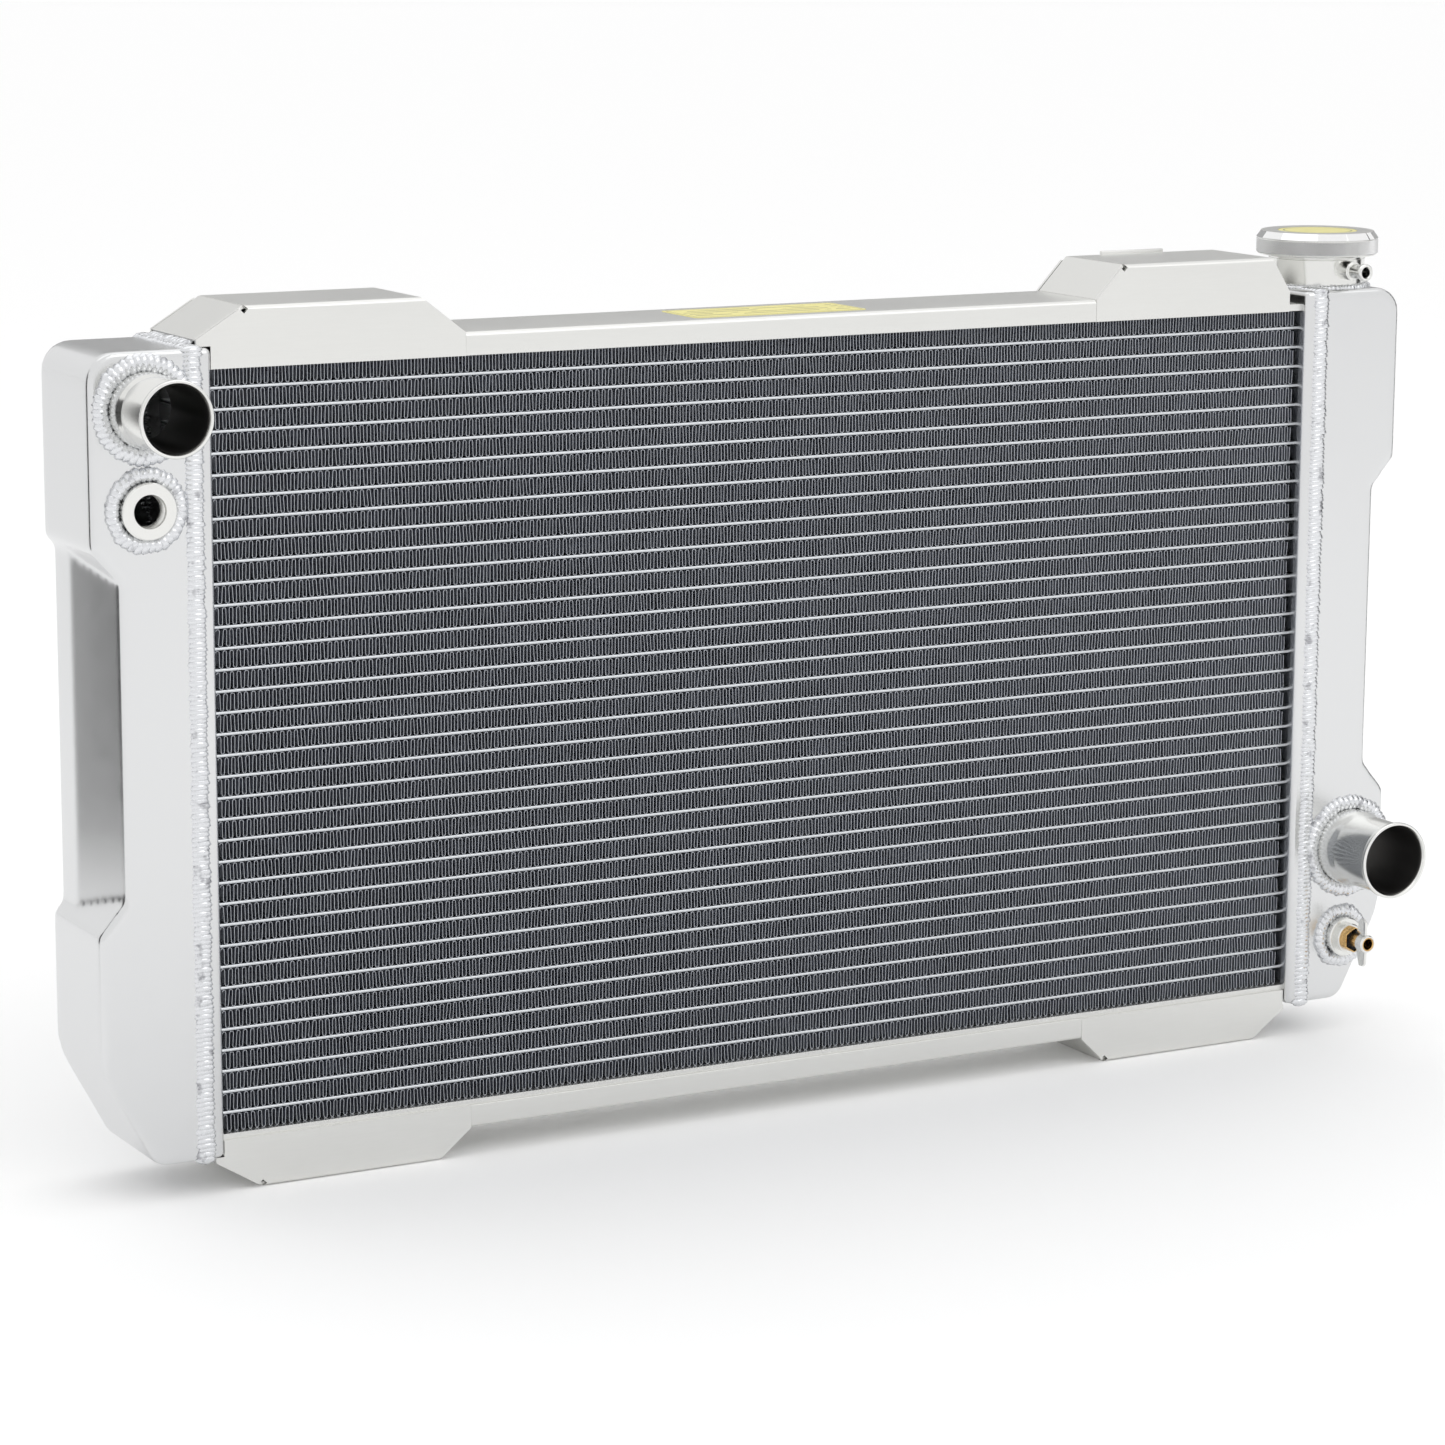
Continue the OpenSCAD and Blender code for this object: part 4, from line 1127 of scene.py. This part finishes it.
class RADIATOR_OT_necks(bpy.types.Operator):
    """Adds the turned inlet and outlet necks"""

    bl_idname = "radiator.necks"
    bl_label = "Hose Necks"

    def execute(self, context):
        for node, radius in (("inlet_neck", 0.01905), ("outlet_neck", 0.0222)):
            centre = middle(node)
            reach = FRONT_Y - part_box(node)[0].y
            neck = lathe(node + "_turned", hose_neck_profile(radius, 0.00165, reach), 96)
            place(neck, facing_front(centre.x, centre.z))
            finish = turned(f"Turned {node}", finishes().turned_colour, 0.20,
                            (centre.x, 0, centre.z), True, 900.0)
            finish_piece(neck, "root", [node], [finish, painted_shade_bore()])
            # Painted shade: bore faces more than 1.2 mm behind the lip take the dark bore colour.
            for face in neck.data.polygons:
                out = hypot(face.center.x - centre.x, face.center.z - centre.z)
                deep = face.center.y > FRONT_Y - reach + 0.0012
                face.material_index = 1 if out < radius - 0.0008 and deep else 0
        return {"FINISHED"}


def threaded_boss_profile(radius, hole, above, inside, thread, collar=None):
    """Profile of a boss with a chamfered face and plain thread grooves in its hole.
    A collar is a narrower, longer part (radius, length) in front of the face."""
    edge, depth = 0.0007, 0.0006
    grooves = []
    turns = int((above + inside - 2 * edge) / thread)
    for i in range(turns):
        top = above - edge * 1.5 - i * thread
        grooves += [(hole, top), (hole + depth, top - thread * 0.5)]
    face = [(hole + depth, above)]
    if collar is not None:
        collar_r, tip = collar[0], above + collar[1]
        face = [(collar_r, above), (collar_r, tip - edge), (collar_r - edge, tip),
                (hole + depth, tip)]
    return [(radius, -inside), (radius, above - edge), (radius - edge, above),
            *face, *grooves, (hole, -inside)]


class RADIATOR_OT_bosses(bpy.types.Operator):
    """Adds the threaded sensor boss and the drain boss"""

    bl_idname = "radiator.bosses"
    bl_label = "Bosses"

    def execute(self, context):
        for node, radius, hole, above, collar in (
                ("sensor_boss", 0.0155, 0.0086, 0.006, None),
                ("drain_boss", 0.0123, 0.006, 0.0065, (0.0092, 0.0042))):
            centre = middle(node)
            profile = threaded_boss_profile(radius, hole, above, 0.004, 0.0014, collar)
            boss = lathe(node + "_turned", profile, 72)
            place(boss, facing_front(centre.x, centre.z))
            finish = turned(f"Turned {node}", finishes().turned_colour, 0.24,
                            (centre.x, 0, centre.z), True, 1600.0)
            finish_piece(boss, "root", [node], finish)
        return {"FINISHED"}


def filler_profile():
    """Profile of the filler neck: spigot, outer wall with a groove, rim, chamber and seat."""
    low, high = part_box("filler_neck")
    base, rim = TANK_HIGH.z, high.z
    radius, chamber, throat, spigot = 0.0293, 0.0205, 0.0130, 0.0200
    groove, seat, edge = rim - 0.0099, rim - 0.019, 0.0006
    return [(throat, low.z), (spigot, low.z), (spigot, base), (radius, base),
            (radius, groove - 0.0003), (radius - 0.0006, groove), (radius - 0.0006, groove + 0.0005),
            (radius, groove + 0.0008), (radius, rim - edge), (radius - edge, rim),
            (chamber + edge, rim), (chamber, rim - edge), (chamber, seat + edge),
            (chamber - edge, seat), (throat + edge, seat), (throat, seat - edge)]


class RADIATOR_OT_filler(bpy.types.Operator):
    """Adds the filler neck with its two lugs, and the overflow nipple"""

    bl_idname = "radiator.filler"
    bl_label = "Filler Neck"

    def execute(self, context):
        centre = middle("filler_neck")
        finish = turned("Turned Filler", finishes().turned_colour, 0.16, (centre.x, MID_Y, 0),
                        rings=700.0)
        neck = lathe("filler_neck_turned", filler_profile(), 96)
        rim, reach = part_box("filler_neck")[1].z, 0.0317
        lugs = [prism("lug", arc((0, 0), reach, a - 35, a + 35, 14) + arc((0, 0), 0.029, a + 35, a - 35, 14),
                      rim - 0.0033, rim - 0.0019) for a in (0, 180)]
        neck = join(neck.name, [neck, *lugs])
        place(neck, Matrix.Translation((centre.x, MID_Y, 0)))
        finish_piece(neck, "root", ["filler_neck"], finish)
        low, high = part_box("overflow_nipple")
        z = (low.z + high.z) / 2
        reach = high.y - low.y
        boss, tube, bore, bead = 0.0057, 0.0044, 0.0028, 0.0053
        shoulder = reach - 0.0127
        profile = [(bore, 0), (boss, 0), (boss, shoulder - 0.0005), (boss - 0.0005, shoulder),
                   (tube + 0.0004, shoulder), (tube, shoulder + 0.0004), (tube, reach - 0.0042),
                   (bead - 0.0002, reach - 0.0032), (bead, reach - 0.0028), (bead, reach - 0.0014),
                   (bead - 0.0003, reach - 0.0006), (tube + 0.0001, reach),
                   (bore + 0.0008, reach), (bore + 0.0002, reach - 0.0008)]
        nipple = lathe("overflow_nipple_turned", profile, 48)
        place(nipple, facing_front(centre.x, z, high.y))
        own = turned("Turned Nipple", finishes().turned_colour, 0.18, (centre.x, 0, z), True, 1500.0)
        finish_piece(nipple, "root", ["overflow_nipple"], own)
        return {"FINISHED"}


def knurl_band(name, radius, low, high):
    """Diamond knurls around a rim: one pyramid, copied round and up in staggered rows."""
    s = sizes()
    count, rows = s.knurl_count, s.knurl_rows
    step = 2 * pi / count
    row_h = (high - low) / rows
    clear_selection()
    bpy.ops.mesh.primitive_cone_add(vertices=4, radius1=1, radius2=0, depth=1, end_fill_type="NOTHING")
    knurl = apply_place(bpy.context.object)
    knurl.data.transform(Matrix.Translation((0, 0, 0.5)))
    knurl.data.transform(Matrix.Diagonal((row_h / 2, radius * step / 2, s.knurl_depth, 1)))
    stand = Matrix(((0, 0, 1, radius), (0, 1, 0, 0), (-1, 0, 0, 0), (0, 0, 0, 1)))
    pyramids = []
    for row in range(2 * rows - 1):
        z = low + row_h * (row + 1) / 2
        for i in range(count):
            angle = step * (i + 0.5 * (row % 2))
            matrix = Matrix.Rotation(angle, 4, "Z") @ Matrix.Translation((0, 0, z)) @ stand
            pyramids.append(matrix)
    mesh = bpy.data.meshes.new(name)
    vertices, faces = [], []
    for matrix in pyramids:
        first = len(vertices)
        vertices += [matrix @ v.co for v in knurl.data.vertices]
        faces += [[first + i for i in p.vertices] for p in knurl.data.polygons]
    mesh.from_pydata(vertices, [], faces)
    bpy.data.objects.remove(knurl)
    band = bpy.data.objects.new(name, mesh)
    bpy.context.scene.collection.objects.link(band)
    return point_outwards(band)


class RADIATOR_OT_cap(bpy.types.Operator):
    """Adds the knurled cap with its polished bevel, and finishes the pieces inside it"""

    bl_idname = "radiator.cap"
    bl_label = "Cap"

    def execute(self, context):
        s = sizes()
        low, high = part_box("cap_shell")
        centre = (low + high) / 2
        radius = (high.x - low.x) / 2
        disc_low, disc_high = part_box("cap_disc")
        disc = (disc_high.x - disc_low.x) / 2 + 0.0003
        bevel_in, bevel_down = 0.0031, 0.0041
        edge, wall, web = 0.0008, 0.00385, 0.0012
        rim = radius - s.knurl_depth
        floor_z = high.z - 0.0040
        bore, head = 0.00306, 0.0058
        top, mid = high.z, high.z - bevel_down
        profile = [(bore, floor_z), (radius - wall, floor_z), (radius - wall, low.z),
                   (rim - edge, low.z), (rim, low.z + edge), (rim, mid - 0.0004),
                   (radius - 0.0001, mid), (radius - bevel_in + 0.0002, top - 0.0002),
                   (radius - bevel_in - 0.0004, top), (disc + 0.0012, top), (disc, top - 0.0002),
                   (disc, disc_low.z), (head, disc_low.z), (head, floor_z + web),
                   (bore, floor_z + web)]
        shell = lathe("cap_shell_turned", profile, 128)
        band = knurl_band("cap_knurls", rim - 0.00004, low.z + edge, mid - 0.0004)
        at_cap = Matrix.Translation((centre.x, centre.y, 0))
        plain = turned("Cap Top", finishes().turned_colour, 0.30, (centre.x, centre.y, 0), rings=1500.0)
        polished = turned("Cap Bevel", (0.88, 0.88, 0.88), 0.05, (centre.x, centre.y, 0), rings=500.0,
                          bump=0.02)
        knurled = grained("Cap Knurls", (0.60, 0.60, 0.60), 0.22, fine=900.0, broad=60.0)
        place(shell, at_cap)
        place(band, at_cap)
        finish_piece(shell, "cap", ["cap_shell"], [plain, polished], radians(24))
        for face in shell.data.polygons:
            sloped = 0.2 < face.normal.z < 0.95 and face.center.z > mid - 0.0002
            far_out = hypot(face.center.x - centre.x, face.center.y - centre.y) > radius - bevel_in
            face.material_index = 1 if sloped and far_out else 0
        finish_piece(band, "cap", [], knurled, radians(5))
        dress("cap_disc", printed_disc())
        dress("cap_lock_ring", plain)
        for node in ("cap_rivet", "valve_carrier", "pressure_plate", "vacuum_valve"):
            dress(node, valve_metal())
        for node in ("pressure_spring", "vacuum_spring"):
            dress(node, spring_wire())
        for node in ("cap_gasket", "pressure_gasket", "drain_seal"):
            dress(node, seal_rubber())
        return {"FINISHED"}


class RADIATOR_OT_drain(bpy.types.Operator):
    """Adds the drain tap: brass body and stem, plated hub and wings"""

    bl_idname = "radiator.drain"
    bl_label = "Drain Tap"

    def execute(self, context):
        low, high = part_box("drain_wing")
        centre = middle("drain_stem")
        on_axis = facing_front(centre.x, centre.z)
        front = FRONT_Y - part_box("drain_body")[0].y
        boss_h = front - 0.0050
        flats = 0.0143
        across = flats / cos(pi / 6) / 2
        shank = lathe("shank", [(0.0044, boss_h - 0.012), (0.0059, boss_h - 0.014), (0.0059, boss_h),
                                (0.0062, boss_h), (0.0062, front - 0.0003), (0.0044, front - 0.0023)], 40)
        nut = prism("nut", [(across * cos(pi * (i / 3 + 1 / 6)), across * sin(pi * (i / 3 + 1 / 6)))
                            for i in range(6)], boss_h, front)
        cut_with(nut, rod("drill", 0.0061, boss_h - 0.002, front + 0.002, 40))
        soften(nut, 0.0007, 2)
        body = place(join("drain_body_turned", [shank, nut]), on_axis)
        finish_piece(body, "root", ["drain_body"], brass())
        stem_low, stem_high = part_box("drain_stem")
        start, tip = FRONT_Y - stem_high.y, FRONT_Y - stem_low.y
        profile = [(0, start), (0.0043, start), (0.0043, tip - 0.0003), (0.0040, tip),
                   (0.0036, tip), (0.0034, tip - 0.0003), (0.0034, start + 0.0015), (0, start + 0.0015)]
        stem = place(lathe("drain_stem_turned", profile, 40, closed=False), on_axis)
        finish_piece(stem, "drain_tap", ["drain_stem"], brass())
        reach = (high.z - low.z) / 2
        hub, hub_l, thick = 0.0056, 0.007, 0.0020
        half = [(-0.002, reach - 0.002), (-0.004, reach), (-0.008, reach), (-0.0118, hub * 0.8)]
        outline = half + [(a, -b) for a, b in reversed(half)]
        wings = prism("drain_wing_plated", outline, -thick / 2, thick / 2)
        place(wings, Matrix.Translation((0, 0, tip)) @ Matrix.Rotation(-FORWARD, 4, "Y"))
        soften(wings, 0.0007, 3)
        cut_with(wings, rod("drill", 0.0050, tip - 0.02, tip + 0.01, 40))
        hub_back = tip - hub_l
        ring = lathe("hub", [(0.0043, hub_back), (hub - 0.0006, hub_back), (hub, hub_back + 0.0008),
                             (hub, tip - 0.0008), (hub - 0.0007, tip), (0.0043, tip)], 40)
        wing = place(join("drain_wing_plated", [wings, ring]), on_axis)
        finish_piece(wing, "drain_tap", ["drain_wing"], plated_wing())
        return {"FINISHED"}


class RADIATOR_OT_label(bpy.types.Operator):
    """Adds the notice label, a film with round corners and a plain printed pattern"""

    bl_idname = "radiator.label"
    bl_label = "Label"

    def execute(self, context):
        low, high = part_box("notice_label")
        film = block("notice_label_film", low, high)
        bevel_edges(film, lambda e: abs(e.verts[0].co.z - e.verts[1].co.z) > 1e-5, 0.0025, 4)
        finish_piece(film, "root", ["notice_label"], printed_label())
        return {"FINISHED"}


def reflector(name, centre, towards, width, height, shade):
    """Card that only shows in reflections."""
    clear_selection()
    bpy.ops.mesh.primitive_plane_add(size=1)
    card = bpy.context.object
    card.name = name
    way = (Vector(towards) - Vector(centre)).normalized()
    card.matrix_world = (Matrix.Translation(centre) @ way.to_track_quat("Z", "Y").to_matrix().to_4x4()
                         @ Matrix.Diagonal((width, height, 1, 1)))
    material, _, shader, _ = new_material(name)
    shader.inputs["Base Color"].default_value = (shade, shade, shade, 1)
    shader.inputs["Roughness"].default_value = 1.0
    card.data.materials.append(material)
    card.visible_camera = False
    card.visible_shadow = False
    card.visible_diffuse = False


def softbox(name, centre, towards, width, height, power):
    light = bpy.data.lights.new(name, "AREA")
    light.shape = "RECTANGLE"
    light.size, light.size_y = width, height
    light.energy = power
    obj = bpy.data.objects.new(name, light)
    way = (Vector(towards) - Vector(centre)).normalized()
    obj.matrix_world = Matrix.Translation(centre) @ way.to_track_quat("-Z", "Y").to_matrix().to_4x4()
    bpy.context.scene.collection.objects.link(obj)


class RADIATOR_OT_stage(bpy.types.Operator):
    """Adds the floor, the soft light and the camera"""

    bl_idname = "radiator.stage"
    bl_label = "Floor, Light and Camera"

    def execute(self, context):
        scene = context.scene
        clear_selection()
        bpy.ops.mesh.primitive_plane_add(size=40)
        floor = bpy.context.object
        floor.name = "floor"
        material, _, shader, _ = new_material("Pale Floor")
        shader.inputs["Base Color"].default_value = (0.985, 0.985, 0.985, 1)
        shader.inputs["Roughness"].default_value = 0.9
        floor.data.materials.append(material)

        world = bpy.data.worlds.new("Studio")
        world.use_nodes = True
        world.node_tree.nodes["Background"].inputs["Color"].default_value = (1, 1, 1, 1)
        world.node_tree.nodes["Background"].inputs["Strength"].default_value = 1.0
        scene.world = world

        aim = (0, 0, 0.25)
        softbox("key_light", (1.2, -2.6, 2.6), aim, 2.6, 2.0, 14)
        softbox("top_light", (0, 0.3, 3.0), aim, 3.5, 2.5, 10)
        reflector("dark_left_back", (-1.09, 0.46, 0.30), (-0.41, 0.02, 0.25), 0.42, 0.9, 0.02)
        reflector("dark_right", (1.35, -0.05, 0.40), (0.40, 0.0, 0.40), 0.34, 1.2, 0.02)
        reflector("grey_behind", (1.25, 1.85, 0.95), (0.05, 0.02, 0.47), 3.4, 1.1, 0.40)

        camera = bpy.data.objects.new("camera", bpy.data.cameras.new("camera"))
        camera.data.sensor_width = 36
        camera.data.lens = 110.03
        camera.data.clip_start = 0.05
        right = Vector((0.877066, -0.480347, 0.004626))
        up = Vector((0.087757, 0.169687, 0.981583))
        turn = Matrix((right, up, right.cross(up))).transposed().to_4x4()
        camera.matrix_world = Matrix.Translation((-1.23868, -2.18484, 0.71794)) @ turn
        scene.collection.objects.link(camera)
        scene.camera = camera
        scene.view_settings.view_transform = "Standard"
        return {"FINISHED"}


# ---------- panel and registration ----------

STEPS = (
    RADIATOR_OT_stage, RADIATOR_OT_core, RADIATOR_OT_headers, RADIATOR_OT_tanks,
    RADIATOR_OT_welds, RADIATOR_OT_channels, RADIATOR_OT_brackets, RADIATOR_OT_necks,
    RADIATOR_OT_bosses, RADIATOR_OT_filler, RADIATOR_OT_cap, RADIATOR_OT_drain,
    RADIATOR_OT_label,
)


class RADIATOR_PT_panel(bpy.types.Panel):
    """Lists the radiator's pieces, sizes and colours"""

    bl_idname = "RADIATOR_PT_panel"
    bl_label = "Car Radiator"
    bl_space_type = "VIEW_3D"
    bl_region_type = "UI"
    bl_category = "Radiator"

    def draw(self, context):
        for step in STEPS:
            self.layout.operator(step.bl_idname)
        for settings in (context.scene.radiator_sizes, context.scene.radiator_finishes):
            for name in settings.__annotations__:
                self.layout.prop(settings, name)


CLASSES = (RadiatorSizes, RadiatorFinishes, *STEPS, RADIATOR_PT_panel)


def register():
    for item in CLASSES:
        bpy.utils.register_class(item)
    bpy.types.Scene.radiator_sizes = bpy.props.PointerProperty(type=RadiatorSizes)
    bpy.types.Scene.radiator_finishes = bpy.props.PointerProperty(type=RadiatorFinishes)


def unregister():
    del bpy.types.Scene.radiator_finishes
    del bpy.types.Scene.radiator_sizes
    for item in reversed(CLASSES):
        bpy.utils.unregister_class(item)


def main():
    register()
    for step in STEPS:
        family, name = step.bl_idname.split(".")
        getattr(getattr(bpy.ops, family), name)()


if __name__ == "__main__":
    main()
